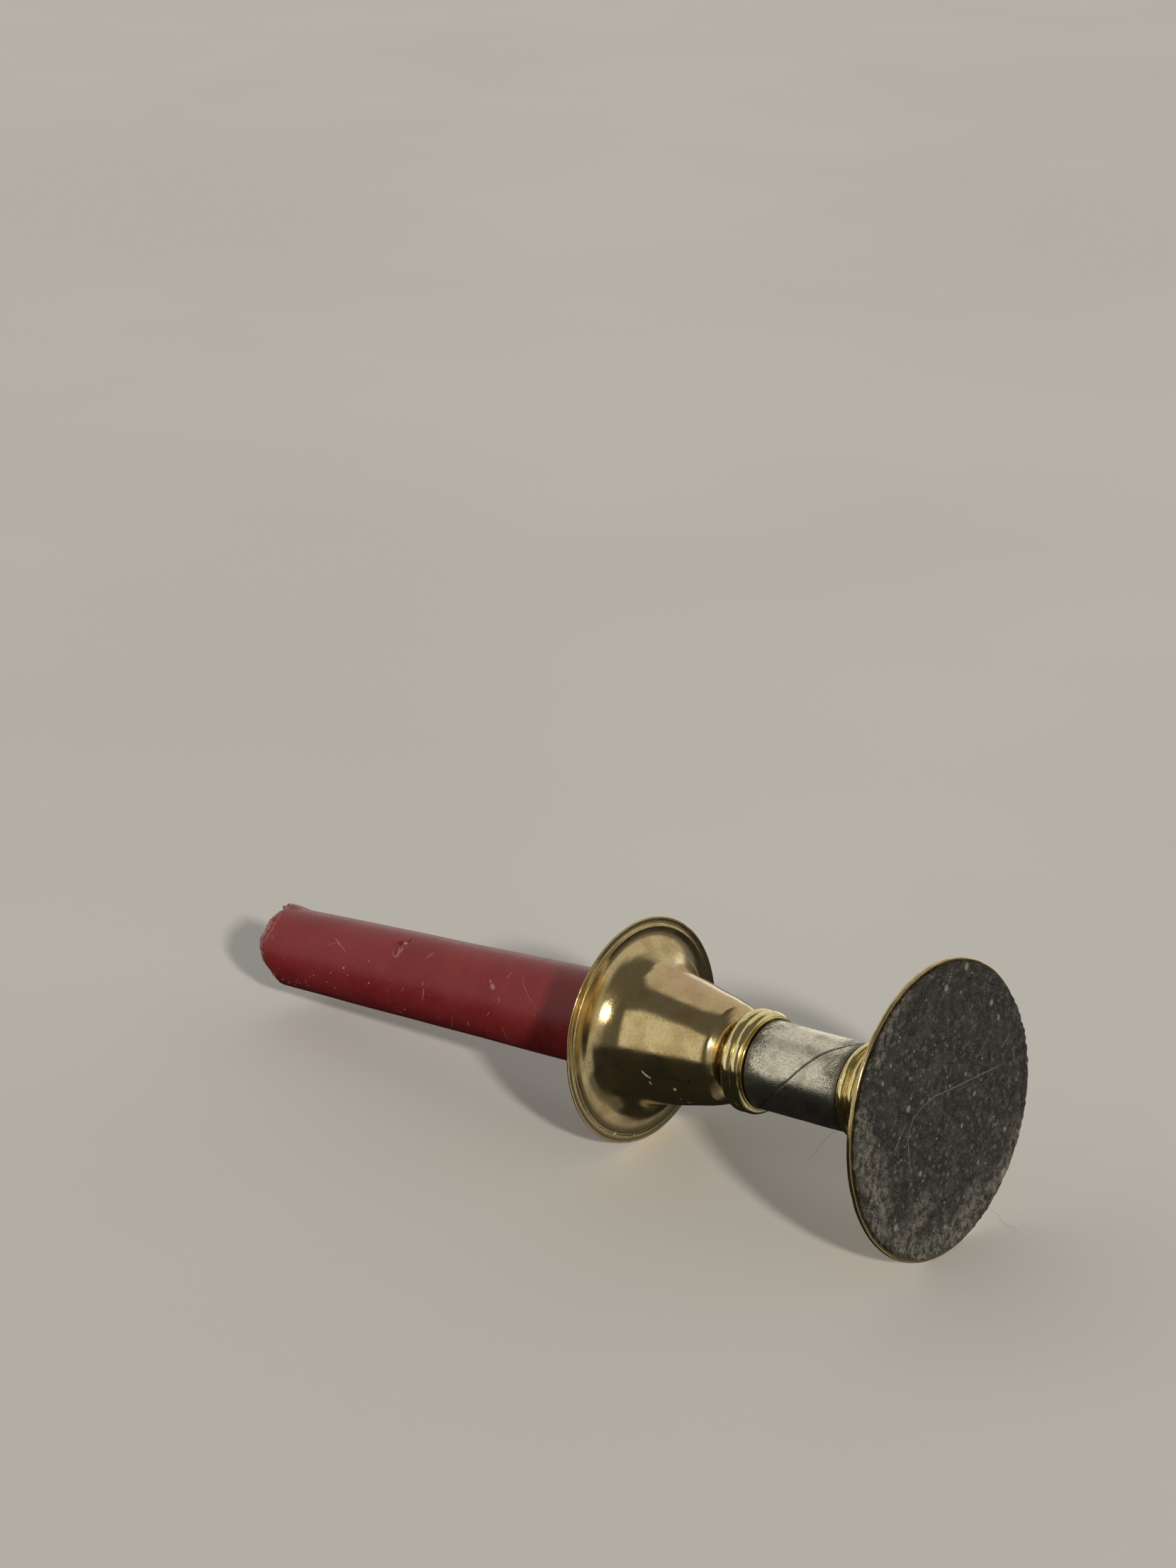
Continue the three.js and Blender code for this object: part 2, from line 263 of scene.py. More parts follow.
lower_ring = ring("lower_ring_beads", [
    (3.2, 15.2), (9.0, 15.2), (9.3, 15.3), (9.4, 15.6),
    *arc(9.5, 16.7, 1.1, -80, 68, 16), *arc(9.5, 19.1, 1.1, -68, 66, 16),
    (9.95, 20.3), (9.85, 20.4), (8.1, 20.4), (8.1, 22.8), (3.2, 22.8)], 21, "lower_ring")
upper_ring = ring("upper_ring_beads", [
    (3.2, 42.65), (8.1, 42.65), (8.1, 45.05), (10.15, 45.05),
    *arc(10.15, 45.2, 0.15, -90, 60, 6), (10.0, 45.5),
    *arc(9.88, 46.8, 1.44, -62, 48, 16), *arc(9.7, 49.0, 1.63, -46, 68, 18),
    (9.9, 50.4), (9.6, 50.5), (3.2, 50.5)], 31, "upper_ring")

# %% [markdown]
# ## Stem sleeve
#
# The stem is a straight sleeve of thin plated sheet, wrapped round and closed with a seam that climbs
# round it at a slant. The seam is a real fold, so it is cut into the surface as a narrow groove with
# a slightly raised lip. The groove is found by measuring each point's distance from the seam's line
# on the unrolled sheet.

# %% Sleeve
SLEEVE_RADIUS, SLEEVE_BOTTOM, SLEEVE_TOP, SLEEVE_SIDES = 9.71, 20.7, 44.75, 320
SEAM = [(20.4, -14), (23.4, 8.6), (28.0, 38.8), (33.2, 76), (40.7, 120), (45.0, 146)]
MM_A_DEGREE = SLEEVE_RADIUS * math.pi / 180


def off_line(height, degrees, line, mm_a_degree):
    """Distance in mm, on the unrolled surface, from a line of (height, degrees) points."""
    nearest = np.full(np.broadcast(height, degrees).shape, 1e9)
    for (h0, a0), (h1, a1) in zip(line, line[1:]):
        dh, da = h1 - h0, (a1 - a0) * mm_a_degree
        ph, pa = height - h0, (degrees - a0) * mm_a_degree
        t = np.clip((ph * dh + pa * da) / (dh * dh + da * da), 0, 1)
        nearest = np.minimum(nearest, np.hypot(ph - t * dh, pa - t * da))
    return nearest


outside = [(SLEEVE_RADIUS, h) for h in np.linspace(SLEEVE_BOTTOM + 0.1, SLEEVE_TOP - 0.1, 150)]
sleeve_r, sleeve_z = turned([(8.5, SLEEVE_BOTTOM), (SLEEVE_RADIUS - 0.1, SLEEVE_BOTTOM), *outside,
                             (SLEEVE_RADIUS - 0.1, SLEEVE_TOP), (8.5, SLEEVE_TOP)], SLEEVE_SIDES)
sleeve_turn = angles(SLEEVE_SIDES)[None, :]
sleeve_degrees = (np.degrees(sleeve_turn) + 100) % 360 - 100
from_seam = off_line(sleeve_z, sleeve_degrees, SEAM, MM_A_DEGREE)
on_outside = smooth_step(sleeve_r, 9.5, 9.6)
sleeve_r -= on_outside * 0.05 * np.exp(-(from_seam / 0.25)**2)
sleeve_r += on_outside * 0.01 * np.exp(-((from_seam - 0.55) / 0.3)**2)
sleeve_r += on_outside * ragged(sleeve_turn + 0.1 * sleeve_z, 41, 2, 9, 0.018)
sleeve = skin("stem_sleeve_sheet", sleeve_r, sleeve_z, stick, "stem_sleeve")

# %% [markdown]
# ## Cup
#
# The cup is a bell on a small collar that opens through a tight sweep into a broad, thin drip rim.
# The rim's outer band stands almost square to the axis, with a crisp crease where it meets the cone.
# Inside are the shallow drip pan and the socket that grips the candle.

# %% Cup
CUP_SIDES = 320
CUP_FLAT = 25.415    # as far from the axis as the resting rim of the cup may reach, in mm
collar = [(2.7, 50.8), (8.5, 50.8), *arc(8.65, 51.1, 0.25, -80, 0, 4), *arc(8.65, 51.55, 0.25, 0, 80, 4),
          (8.25, 52.0)]
bell = curve([
    (7.95, 52.35), (8.75, 52.85), (9.5, 53.4), (10.1, 53.9), (10.6, 54.35), (10.95, 54.8), (11.2, 55.4),
    (11.5, 56.3), (11.9, 57.6), (12.25, 59.0), (12.85, 61.95), (13.75, 66.2), (14.5, 70.2), (14.98, 72.6),
    (15.5, 74.4), (16.2, 75.9), (17.1, 77.1), (18.1, 78.1), (19.1, 78.93), (20.1, 79.52), (21.0, 79.85),
    (21.8, 80.0), (22.6, 80.06), (23.35, 80.08)], 6)
rim = [(23.5, 80.12), (23.62, 80.22), (23.75, 80.33), (24.0, 80.41), (24.8, 80.43),
       *arc(25.33, 80.58, 0.14, -80, 80, 6)]
drip_pan = [(24.6, 80.78), (23.7, 80.76), (21.0, 80.62), (17.5, 80.1), (15.2, 79.5), (13.6, 78.9),
            (12.2, 78.3), (11.7, 78.0)]
socket = [(11.5, 77.5), (11.3, 70.0), (11.0, 60.5), (10.7, 60.4), (2.7, 60.4), (2.7, 55.0)]
cup_outline = collar + bell + rim + drip_pan + socket
cup_r, cup_z = turned(cup_outline, CUP_SIDES)
cup_turn = angles(CUP_SIDES)[None, :]
lip = smooth_step(cup_r, 24.3, 25.4)
cup_knocks = ((9, 1.6, 0.1), (52, 1.0, 0.08), (88, 1.4, 0.12), (121, 0.9, 0.08), (167, 1.3, 0.12),
              (215, 1.8, 0.1), (256, 1.1, 0.12), (318, 1.5, 0.1))
for at, wide, deep in cup_knocks:
    cup_r -= deep * lip * bump_at(cup_turn, 0, at, 0, wide, 1)
cup_z += smooth_step(cup_r, 16, 25) * ragged(cup_turn, 51, 2, 5, 0.04)
cup_r += smooth_step(cup_r, 9, 12) * ragged(cup_turn + 0.05 * cup_z, 52, 2, 6, 0.015)
pit_and_dent = ((94, 55.8, 1.6, 0.3, 0.12), (139, 63.5, 5, 1.6, 0.05), (205, 68.0, 7, 2.2, 0.07))
for at, height, wide, tall, deep in pit_and_dent:
    cup_r -= deep * smooth_step(cup_r, 11, 11.6) * bump_at(cup_turn, cup_z, at, height, wide, tall)
cup_r = resting(cup_r, cup_turn, CUP_FLAT)
cup = skin("candle_cup_bell", cup_r, cup_z, stick, "candle_cup")

# %% [markdown]
# ## Candle
#
# The stub is a dipped taper: plain cast wax with a thin coloured skin. Its end has burned down and
# been torn, so the skin stops short of the core and a tongue of wax stands out near the top. The
# profile therefore carries two edges, one for the skin and one for the core, and each gets its own
# ragged line round the piece. The hollow where the wax melted is hidden from the front but is part
# of the piece.

# %% Candle outline
CANDLE_RADIUS, CANDLE_TAPER, CANDLE_LENGTH = 11.0, 0.0145, 109.8
TIP_RADIUS = CANDLE_RADIUS - CANDLE_TAPER * CANDLE_LENGTH
heights = np.concatenate([np.arange(0, 60, 1.0), np.arange(60, 72, 0.2), np.arange(72, 104, 0.7),
                          np.arange(104, 108.2, 0.2)])
wall = [(CANDLE_RADIUS - CANDLE_TAPER * h, h) for h in heights]
end = [(-0.02, -1.45), (-0.08, -1.2), (-0.22, -1.02), (-0.45, -0.93), (-0.6, -0.9),
       (-0.68, -0.75), (-0.72, -0.45), (-0.86, -0.15), (-1.1, 0.0), (-1.4, -0.05), (-1.8, -0.3),
       (-2.4, -0.9), (-3.2, -1.5), (-4.4, -2.0), (-6.0, -2.3), (-7.6, -2.45), (-8.1, -2.5), (-8.36, -2.6)]
candle_outline = [(1.05, -19.6), (9.3, -19.6), (9.8, -19.2), (10.2, -14), (10.7, -6), *wall,
                  *[(TIP_RADIUS + dr, CANDLE_LENGTH + dz) for dr, dz in end]]
WAX_SIDES = 260
wax_r, wax_z = turned(candle_outline, WAX_SIDES)
wax_turn = angles(WAX_SIDES)[None, :]
wax_degrees = (np.degrees(wax_turn) + 180) % 360 - 180
SKIN_POINTS = 5    # the first points of the end are the skin's edge, and the rest are the core's
skin_rows = np.arange(len(candle_outline))[:, None] < len(candle_outline) - len(end) + SKIN_POINTS
print("the stub's outline has", len(candle_outline), "points")

# %% [markdown]
# ### The torn end
#
# The ragged lines are sums of waves round the piece, so they close on themselves. The slope across the
# end, the tongue and the ledge on the front are added as single swellings. The skin's line runs a
# little behind the core's, which leaves the step where the skin has peeled.

# %% The torn end
near_end = smooth_step(wax_z, 103.5, CANDLE_LENGTH - 1.2)
near_wall = smooth_step(wax_r, TIP_RADIUS - 3.6, TIP_RADIUS - 1.2)
tongue = np.exp(-((wax_degrees + 24) / 9.7)**2)
front_ledge = 0.85 * np.exp(-((wax_degrees - 65) / 29)**2)
core_line = (1.24 * np.cos(wax_turn) + 0.28 * np.sin(5 * wax_turn + 0.7) + 0.17 * np.sin(11 * wax_turn + 2.1)
             + front_ledge + 3.2 * tongue + ragged(wax_turn, 61, 14, 60, 0.09))
peeled = 0.35 + 0.5 * np.exp(-((wax_degrees - 50) / 60)**2)
skin_line = core_line - peeled + ragged(wax_turn, 62, 5, 70, 0.16)
wax_z += near_end * near_wall * np.where(skin_rows, skin_line, core_line)
flake = np.exp(-(((wax_degrees + 22) / 15)**2)**2) * smooth_step(wax_z, 104.6, 109.4)
wax_r *= 1 + 0.055 * flake * near_wall
pool = smooth_step(wax_r, 1.2, 3.0) * (1 - near_wall) * (wax_z > 100)
wax_z += pool * ragged(wax_turn + wax_r / 3, 63, 2, 9, 0.12)
print("the tongue of wax reaches", round(wax_z.max(), 1), "mm along the candle")

# %% [markdown]
# ### Gouge and dents
#
# The gouge near the middle is a real hole in the skin with a raised burr below it. The smaller dents
# are knocks, and long shallow waves come from dipping by hand. Each flaw is one swelling taken out of
# the radius, given as (degrees, height, width in degrees, height in mm, depth).

# %% Gouge, dents and waves
on_wall = smooth_step(wax_r, 8.0, 9.0) * (wax_z > -1) * (wax_z < 109)
gouge_pits = [(22, 68.2, 4.0, 0.55, 0.55), (15, 66.3, 4.5, 0.32, 0.4), (31, 67.2, 7.0, 0.8, 0.16),
              (40, 67.6, 3.0, 0.9, -0.08)]
dents = [(121, 95.9, 3.0, 0.4, 0.12), (80, 56.2, 2.0, 1.0, 0.1), (166, 72.5, 5.0, 0.8, 0.25),
         (-62, 48.0, 8.0, 2.0, 0.12), (-118, 81.0, 10.0, 3.0, 0.15), (-35, 22.0, 6.0, 1.5, 0.1)]
for at, height, wide, tall, deep in gouge_pits + dents:
    wax_r -= deep * on_wall * bump_at(wax_turn, wax_z, at, height, wide, tall)
long_waves = 0.03 * np.sin(wax_z / 9 + 2 * wax_turn)
short_waves = 0.02 * np.sin(wax_z / 4.1 + 5 * wax_turn)
wax_r += on_wall * long_waves + on_wall * short_waves
stub = skin("candle_stub", wax_r, wax_z, candle, "candle", sharp=60)

# %% [markdown]
# ## Wick
#
# A candle wick is three plaited strands of cotton. Where it stands out of the wax it has burned black
# and curls over. Three thin strands twisted round one another give the plait its bumpy outline, so
# the wick is a tube whose radius follows them.

# %% A tube along a path
def tube(name, middles, thickness, place):
    """A tube through the middles, in mm. thickness holds a radius for every ring and angle."""
    rings, sides = thickness.shape
    turn = angles(sides)[:, None]
    ahead = np.gradient(middles, axis=0)
    ahead /= np.linalg.norm(ahead, axis=1)[:, None]
    side = np.cross(ahead, (0, 1, 0.1))
    side /= np.linalg.norm(side, axis=1)[:, None]
    other = np.cross(ahead, side)
    outwards = np.cos(turn) * side[:, None] + np.sin(turn) * other[:, None]
    points = middles[:, None] + thickness[..., None] * outwards
    number = np.arange(rings * sides).reshape(rings, sides)
    ahead_of_it = np.roll(number, -1, 1)
    faces = np.stack([number[:-1], number[1:], ahead_of_it[1:], ahead_of_it[:-1]], -1).reshape(-1, 4)
    mesh = bpy.data.meshes.new(name)
    mesh.from_pydata((points.reshape(-1, 3) * MM).tolist(), [],
                     faces.tolist() + [number[0].tolist(), number[-1].tolist()[::-1]])
    return placed(name, mesh, place)


# %% Wick
pool_floor = CANDLE_LENGTH - 2.6
wick_path = curve([(0, 0, pool_floor - 6), (0, 0, pool_floor - 3), (0, 0, pool_floor + 0.6),
                   (-0.5, 0.4, pool_floor + 2.8), (-1.7, 1.0, pool_floor + 4.6)], 14)
lower_wick = [(0, 0, h) for h in np.linspace(-19.0, pool_floor - 7, 30)]
wick_points = np.array(lower_wick + [tuple(p) for p in wick_path])
steps_left = len(wick_points) - np.arange(len(wick_points))[:, None]
strand = 0.66 + 0.1 * np.abs(np.cos(1.5 * (angles(24) - 2.2 * wick_points[:, 2:])))
wick = tube("wick_plait", wick_points, strand * np.minimum(1, 0.45 + 0.069 * steps_left), candle)
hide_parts("wick")
print("the wick stands", round(wick_points[-1][2] - pool_floor, 1), "mm out of the pool")

# %% [markdown]
# ## Lint
#
# Wax and felt both collect fibres. A few stand off the torn end, the underside of the stem and the edge
# of the felt. Each is a thread a twentieth of a millimetre thick, so it is a smooth curve with a round
# section, laid in the axes of the piece that it clings to.

# %% Lint fibres
FIBRE_THICKNESS = 0.05
LINT = {
    "lint_tip_long": (candle, [(4.4, -8.2, 109.6), (3.3, -8.6, 109.9), (0.8, -9.0, 109.7),
                               (-1.7, -9.3, 109.3), (-4.6, -9.8, 108.8)]),
    "lint_tip_low": (candle, [(-3.9, -8.8, 108.6), (-4.9, -9.4, 108.2), (-6.2, -9.2, 107.3),
                              (-7.3, -8.8, 106.4), (-8.3, -8.6, 105.6)]),
    "lint_tip_high": (candle, [(4.7, -7.9, 109.9), (5.3, -7.9, 110.7), (6.2, -7.6, 111.5),
                               (6.8, -8.0, 112.2)]),
    "lint_stem": (stick, [(-6.6, -7.2, 22.6), (-7.7, -7.0, 23.2), (-9.0, -7.6, 24.5),
                          (-11.4, -9.6, 25.8), (-13.5, -11.7, 27.1)]),
    "lint_base": (base, [(-26.9, 15.0, 0.1), (-27.6, 14.7, -0.1), (-28.6, 15.2, -0.5), (-29.3, 15.6, -1.4),
                         (-30.5, 15.9, -2.0), (-31.6, 16.4, -3.0), (-32.0, 16.7, -4.6),
                         (-32.2, 15.4, -6.5)]),
}
fibres = []
for name, (place, points) in LINT.items():
    path = np.array(curve(points, 5))
    thickness = np.full((len(path), 6), FIBRE_THICKNESS / 2)
    fibres.append(tube(name, path, thickness, place))
print(len(fibres), "fibres")

# %% [markdown]
# ## Finishes
#
# Colours are given as they look on a screen and turned to linear light by one function. One small
# function adds a node with its settings and links. Every Mix node here blends colours and every Map
# Range fades smoothly, so the function sets that too. Patterns are drawn in real millimetres: either
# straight through the piece, or on its unrolled surface, where the first coordinate runs along the
# axis and the second round it from the top to the front. A pattern's Scale is then the number of its
# waves in a millimetre, so a real size of half a millimetre gives a Scale of 2.

# %% Colour and node helpers
MATH, VECTOR, RANGE, MIX = "ShaderNodeMath", "ShaderNodeVectorMath", "ShaderNodeMapRange", "ShaderNodeMix"
NOISE, VORONOI = "ShaderNodeTexNoise", "ShaderNodeTexVoronoi"
USUAL = {MIX: {"data_type": "RGBA"}, RANGE: {"interpolation_type": "SMOOTHSTEP"}}


def linear(hex_colour):
    """An sRGB hex colour as linear red, green, blue and alpha."""
    parts = [int(hex_colour[i:i + 2], 16) / 255 for i in (1, 3, 5)]
    return (*[c / 12.92 if c <= 0.04045 else ((c + 0.055) / 1.055)**2.4 for c in parts], 1.0)


def add(tree, kind, inputs=None, **settings):
    """Adds a node. An input is a value, a node whose first live output is linked, or (node, output name)."""
    node = tree.nodes.new(kind)
    for key, value in {**USUAL.get(kind, {}), **settings}.items():
        setattr(node, key, value)
    for key, value in (inputs or {}).items():
        socket = node.inputs[key]
        if isinstance(value, bpy.types.Node):
            tree.links.new(next(o for o in value.outputs if o.enabled), socket)
        elif isinstance(value, tuple) and isinstance(value[0], bpy.types.Node):
            tree.links.new(value[0].outputs[value[1]], socket)
        else:
            socket.default_value = value
    return node


def new_material(name):
    material = bpy.data.materials.new(name)
    material.use_nodes = True
    material.node_tree.nodes.clear()
    return material, material.node_tree


# %% Coats and bands
def coats(tree, colour, layers):
    """Lays coats over a colour. Each is (where it lies, how strong it is, its hex colour)."""
    for cover, strength, paint in layers:
        thin = add(tree, MATH, {0: cover, 1: strength}, operation="MULTIPLY")
        colour = add(tree, MIX, {0: thin, 6: colour, 7: linear(paint)})
    return colour


def within(tree, value, low, full_low, full_high, high):
    """1 from full_low to full_high, fading out to 0 at low and at high."""
    rising = add(tree, RANGE, {0: value, 1: low, 2: full_low})
    falling = add(tree, RANGE, {0: value, 1: high, 2: full_high})
    return add(tree, MATH, {0: rising, 1: falling}, operation="MULTIPLY")


# %% Places in millimetres
def millimetres(tree):
    where = (add(tree, "ShaderNodeTexCoord"), "Object")
    return add(tree, VECTOR, {0: where, "Scale": 1000.0}, operation="SCALE")


def unrolled(tree, place, radius):
    """Surface coordinates in mm, the height, the distance from the axis, and the turn in radians."""
    part = add(tree, "ShaderNodeSeparateXYZ", {0: place})
    front = add(tree, MATH, {0: (part, "Y"), 1: -1.0}, operation="MULTIPLY")
    turn = add(tree, MATH, {0: front, 1: (part, "X")}, operation="ARCTAN2")
    round_it = add(tree, MATH, {0: turn, 1: radius}, operation="MULTIPLY")
    sheet = add(tree, "ShaderNodeCombineXYZ", {0: (part, "Z"), 1: round_it})
    flat = add(tree, VECTOR, {0: place, 1: (1.0, 1.0, 0.0)}, operation="MULTIPLY")
    off_axis = add(tree, VECTOR, {0: flat}, operation="LENGTH")
    return sheet, (part, "Z"), (off_axis, "Value"), turn


# %% Marks
def scratches(tree, place, lines):
    """Straight marks, 1 along the middle of each. A line is (x0, y0, x1, y1, half width) in mm."""
    marks = None
    for x0, y0, x1, y1, half_width in lines:
        run = (x1 - x0, y1 - y0, 0.0)
        reach = max(run[0]**2 + run[1]**2, 1e-6)
        off = add(tree, VECTOR, {0: place, 1: (x0, y0, 0.0)}, operation="SUBTRACT")
        dot = add(tree, VECTOR, {0: off, 1: run}, operation="DOT_PRODUCT")
        share = add(tree, MATH, {0: (dot, "Value"), 1: 1 / reach}, operation="MULTIPLY", use_clamp=True)
        foot_of_it = add(tree, VECTOR, {0: run, "Scale": share}, operation="SCALE")
        away = add(tree, VECTOR, {0: off, 1: foot_of_it}, operation="DISTANCE")
        mark = add(tree, RANGE, {0: (away, "Value"), 1: half_width, 2: 0.3 * half_width})
        marks = mark if marks is None else add(tree, MATH, {0: marks, 1: mark}, operation="MAXIMUM")
    return marks


def joined(points, half_width, mm_a_degree=1.0):
    """The lines from each point to the next, for scratches(). The second coordinate may be in degrees."""
    return [(x0, y0 * mm_a_degree, x1, y1 * mm_a_degree, half_width)
            for (x0, y0), (x1, y1) in zip(points, points[1:])]


def wavy(tree, place, scale, size):
    """The place moved about by up to `size` mm, so that marks laid on it aren't ruled straight."""
    drift = add(tree, NOISE, {"Vector": place, "Scale": scale, "Detail": 2.0})
    centred = add(tree, VECTOR, {0: (drift, "Color"), 1: (0.5, 0.5, 0.5)}, operation="SUBTRACT")
    moved = add(tree, VECTOR, {0: centred, "Scale": 2.0 * size}, operation="SCALE")
    return add(tree, VECTOR, {0: place, 1: moved}, operation="ADD")


# %% [markdown]
# ### Aged brass
#
# The base and the cup are cast brass, turned and then polished, and were once lacquered. Handling has
# worn the lacquer through, so the metal has dulled in soft clouds, gone brown in the corners that a cloth
# doesn't reach, and taken a coppery blush on the shoulder. Reflections stay sharp enough to show the
# room, but fine pitting gives them a grain. So the colour is a brass with cloudy, freckled tarnish over
# it, and the roughness and a bump of a few thousandths of a millimetre follow the same freckles.

# %% Aged brass: the metal and its tarnish
BELL_RADIUS = 12.6
aged_brass, tree = new_material("aged_brass")
place = millimetres(tree)
sheet, height, off_axis, turn = unrolled(tree, place, BELL_RADIUS)
# The clouds are 6 mm across and the freckles half a millimetre. The pits are a fifth of a millimetre
# apart: real ones are finer, but wouldn't show, so they are drawn this coarse.
clouds = add(tree, NOISE, {"Vector": place, "Scale": 0.16, "Detail": 4.0, "Roughness": 0.6})
freckles = add(tree, NOISE, {"Vector": place, "Scale": 1.9, "Detail": 3.0, "Roughness": 0.65})
pitting = add(tree, NOISE, {"Vector": place, "Scale": 4.5, "Detail": 2.0, "Roughness": 0.7})
dull = add(tree, RANGE, {0: clouds, 1: 0.42, 2: 0.66})
spotted = add(tree, RANGE, {0: freckles, 1: 0.47, 2: 0.72})
colour = coats(tree, linear("#E2CC98"), [(dull, 1.0, "#C9B07C"), (spotted, 0.45, "#A08D66")])

# The blush lies along the top of the shoulder, where a hand holds it: upwards is the local x axis.
upwards = add(tree, MATH, {0: turn}, operation="COSINE")
blotchy = add(tree, MATH, {0: freckles, 1: 0.12, 2: upwards}, operation="MULTIPLY_ADD")
ragged_up = add(tree, MATH, {0: clouds, 1: 0.4, 2: blotchy}, operation="MULTIPLY_ADD")
on_top = add(tree, RANGE, {0: ragged_up, 1: 1.08, 2: 1.24})
on_shoulder = within(tree, height, 52.0, 56.0, 72.0, 76.5)
blush = add(tree, MATH, {0: on_top, 1: on_shoulder}, operation="MULTIPLY")
colour = coats(tree, colour, [(blush, 0.5, "#CDA683")])

# Brown tarnish: in the neck above the collar, in the crease of the rim and along the edge of the base.
corners = within(tree, height, 50.0, 50.6, 52.1, 53.2)
crease = within(tree, off_axis, 22.9, 23.6, 23.7, 24.3)
base_edge = add(tree, RANGE, {0: off_axis, 1: 31.2, 2: 31.75})
for corner, strength in ((crease, 0.4), (base_edge, 0.25)):
    weaker = add(tree, MATH, {0: corner, 1: strength}, operation="MULTIPLY")
    corners = add(tree, MATH, {0: corners, 1: weaker}, operation="MAXIMUM")
broken_up = add(tree, RANGE, {0: freckles, 1: 0.25, 2: 0.6})
patchy = add(tree, MATH, {0: corners, 1: broken_up}, operation="MULTIPLY")
colour = coats(tree, colour, [(patchy, 1.0, "#8A6E46")])

# %% Aged brass: spatters, flecks and a pit
# A few spatters of paint and wax on the front, two pale flecks on the rim, and one dark pit.
spatter = scratches(tree, wavy(tree, sheet, 1.5, 0.25), [
    (69.1, 21.8, 68.3, 22.5, 0.3), (68.4, 22.4, 67.6, 22.9, 0.28), (68.0, 24.1, 67.7, 24.5, 0.2),
    (62.2, 25.3, 62.5, 25.8, 0.4), (62.6, 29.0, 62.5, 29.3, 0.26), (61.9, 31.0, 61.4, 31.3, 0.4)])
face_on = add(tree, VECTOR, {0: wavy(tree, place, 2.0, 0.15), 1: (1.0, 1.0, 0.0)}, operation="MULTIPLY")
flecks = scratches(tree, face_on, [(-20.5, -11.9, -20.6, -11.7, 0.5), (-23.2, -5.4, -23.4, -5.3, 0.22)])
at_rim = add(tree, RANGE, {0: height, 1: 79.2, 2: 79.4})
rim_flecks = add(tree, MATH, {0: flecks, 1: at_rim}, operation="MULTIPLY")
pit = scratches(tree, sheet, [(58.1, 22.6, 58.15, 22.7, 0.42)])
colour = coats(tree, colour, [(spatter, 1.0, "#C9C3A6"), (rim_flecks, 1.0, "#D8D2BE"), (pit, 0.7, "#2B2618")])

# %% Aged brass: the surface
# What has splashed on the metal isn't metal, and neither is the thin film of tarnish in the clouds.
spatter = add(tree, MATH, {0: spatter, 1: rim_flecks}, operation="MAXIMUM")
roughness = add(tree, RANGE, {0: clouds, 1: 0.35, 2: 0.7, 3: 0.1, 4: 0.17})
roughness = add(tree, MATH, {0: spotted, 1: 0.07, 2: roughness}, operation="MULTIPLY_ADD")
roughness = add(tree, MATH, {0: patchy, 1: 0.2, 2: roughness}, operation="MULTIPLY_ADD")
film = add(tree, RANGE, {0: clouds, 1: 0.35, 2: 0.65, 3: 0.015, 4: 0.05})
under_film = add(tree, MATH, {0: 1.0, 1: film}, operation="SUBTRACT")
metal = add(tree, MATH, {0: under_film, 1: spatter}, operation="SUBTRACT", use_clamp=True)
grain = add(tree, MATH, {0: pitting, 1: 0.5, 2: freckles}, operation="MULTIPLY_ADD")
raised = add(tree, MATH, {0: spatter, 1: 8.0, 2: grain}, operation="MULTIPLY_ADD")
bump = add(tree, "ShaderNodeBump", {"Strength": 1.0, "Distance": 0.012 * MM, "Height": raised})
shader = add(tree, "ShaderNodeBsdfPrincipled", {
    "Base Color": colour, "Metallic": metal, "Roughness": roughness, "Normal": bump})
add(tree, "ShaderNodeOutputMaterial", {"Surface": shader})
print("aged brass has", len(tree.nodes), "nodes")

# %% [markdown]
# ### Polished brass
#
# The two rings are a yellower brass that still has its lacquer, so they stay bright and mirror the lamp
# in thin lines. The lacquer has broken in the grooves, where the metal is brown, and in small nicks
# along the crests. The finish is a clean yellow metal with brown in the grooves, tiny dark nicks, and
# faint scratches round the ring from polishing on the lathe.

# %% Polished brass
BEAD_RADIUS = 10.9
bright_brass, tree = new_material("polished_brass")
place = millimetres(tree)
sheet, _, off_axis, _ = unrolled(tree, place, BEAD_RADIUS)
# The lacquer changes every 2 mm and there is room for a nick every 1.25 mm. The polishing lines are a
# ninth of a millimetre apart, which is coarser than a cloth leaves, so that they show at all.
drift = add(tree, NOISE, {"Vector": place, "Scale": 0.5, "Detail": 3.0})
paler = add(tree, RANGE, {0: drift, 1: 0.45, 2: 0.7})
groove = add(tree, RANGE, {0: off_axis, 1: 10.15, 2: 9.7})
uneven = add(tree, RANGE, {0: drift, 1: 0.25, 2: 0.55, 3: 0.45, 4: 1.0})
stain = add(tree, MATH, {0: groove, 1: uneven}, operation="MULTIPLY")
cells = add(tree, VORONOI, {"Vector": place, "Scale": 0.8, "Randomness": 1.0})
nicks = add(tree, RANGE, {0: (cells, "Distance"), 1: 0.13, 2: 0.06})
colour = coats(tree, linear("#FFEDB0"), [
    (paler, 1.0, "#F3DB92"), (stain, 1.0, "#6B4A1D"), (nicks, 0.6, "#5E4420")])
stretched = add(tree, VECTOR, {0: sheet, 1: (9.0, 0.35, 1.0)}, operation="MULTIPLY")
polishing = add(tree, NOISE, {"Vector": stretched, "Scale": 1.0, "Detail": 2.0})
roughness = add(tree, RANGE, {0: drift, 1: 0.3, 2: 0.7, 3: 0.09, 4: 0.16})
roughness = add(tree, MATH, {0: stain, 1: 0.3, 2: roughness}, operation="MULTIPLY_ADD")
surface = add(tree, MATH, {0: nicks, 1: -3.0, 2: polishing}, operation="MULTIPLY_ADD")
bump = add(tree, "ShaderNodeBump", {"Strength": 1.0, "Distance": 0.01 * MM, "Height": surface})
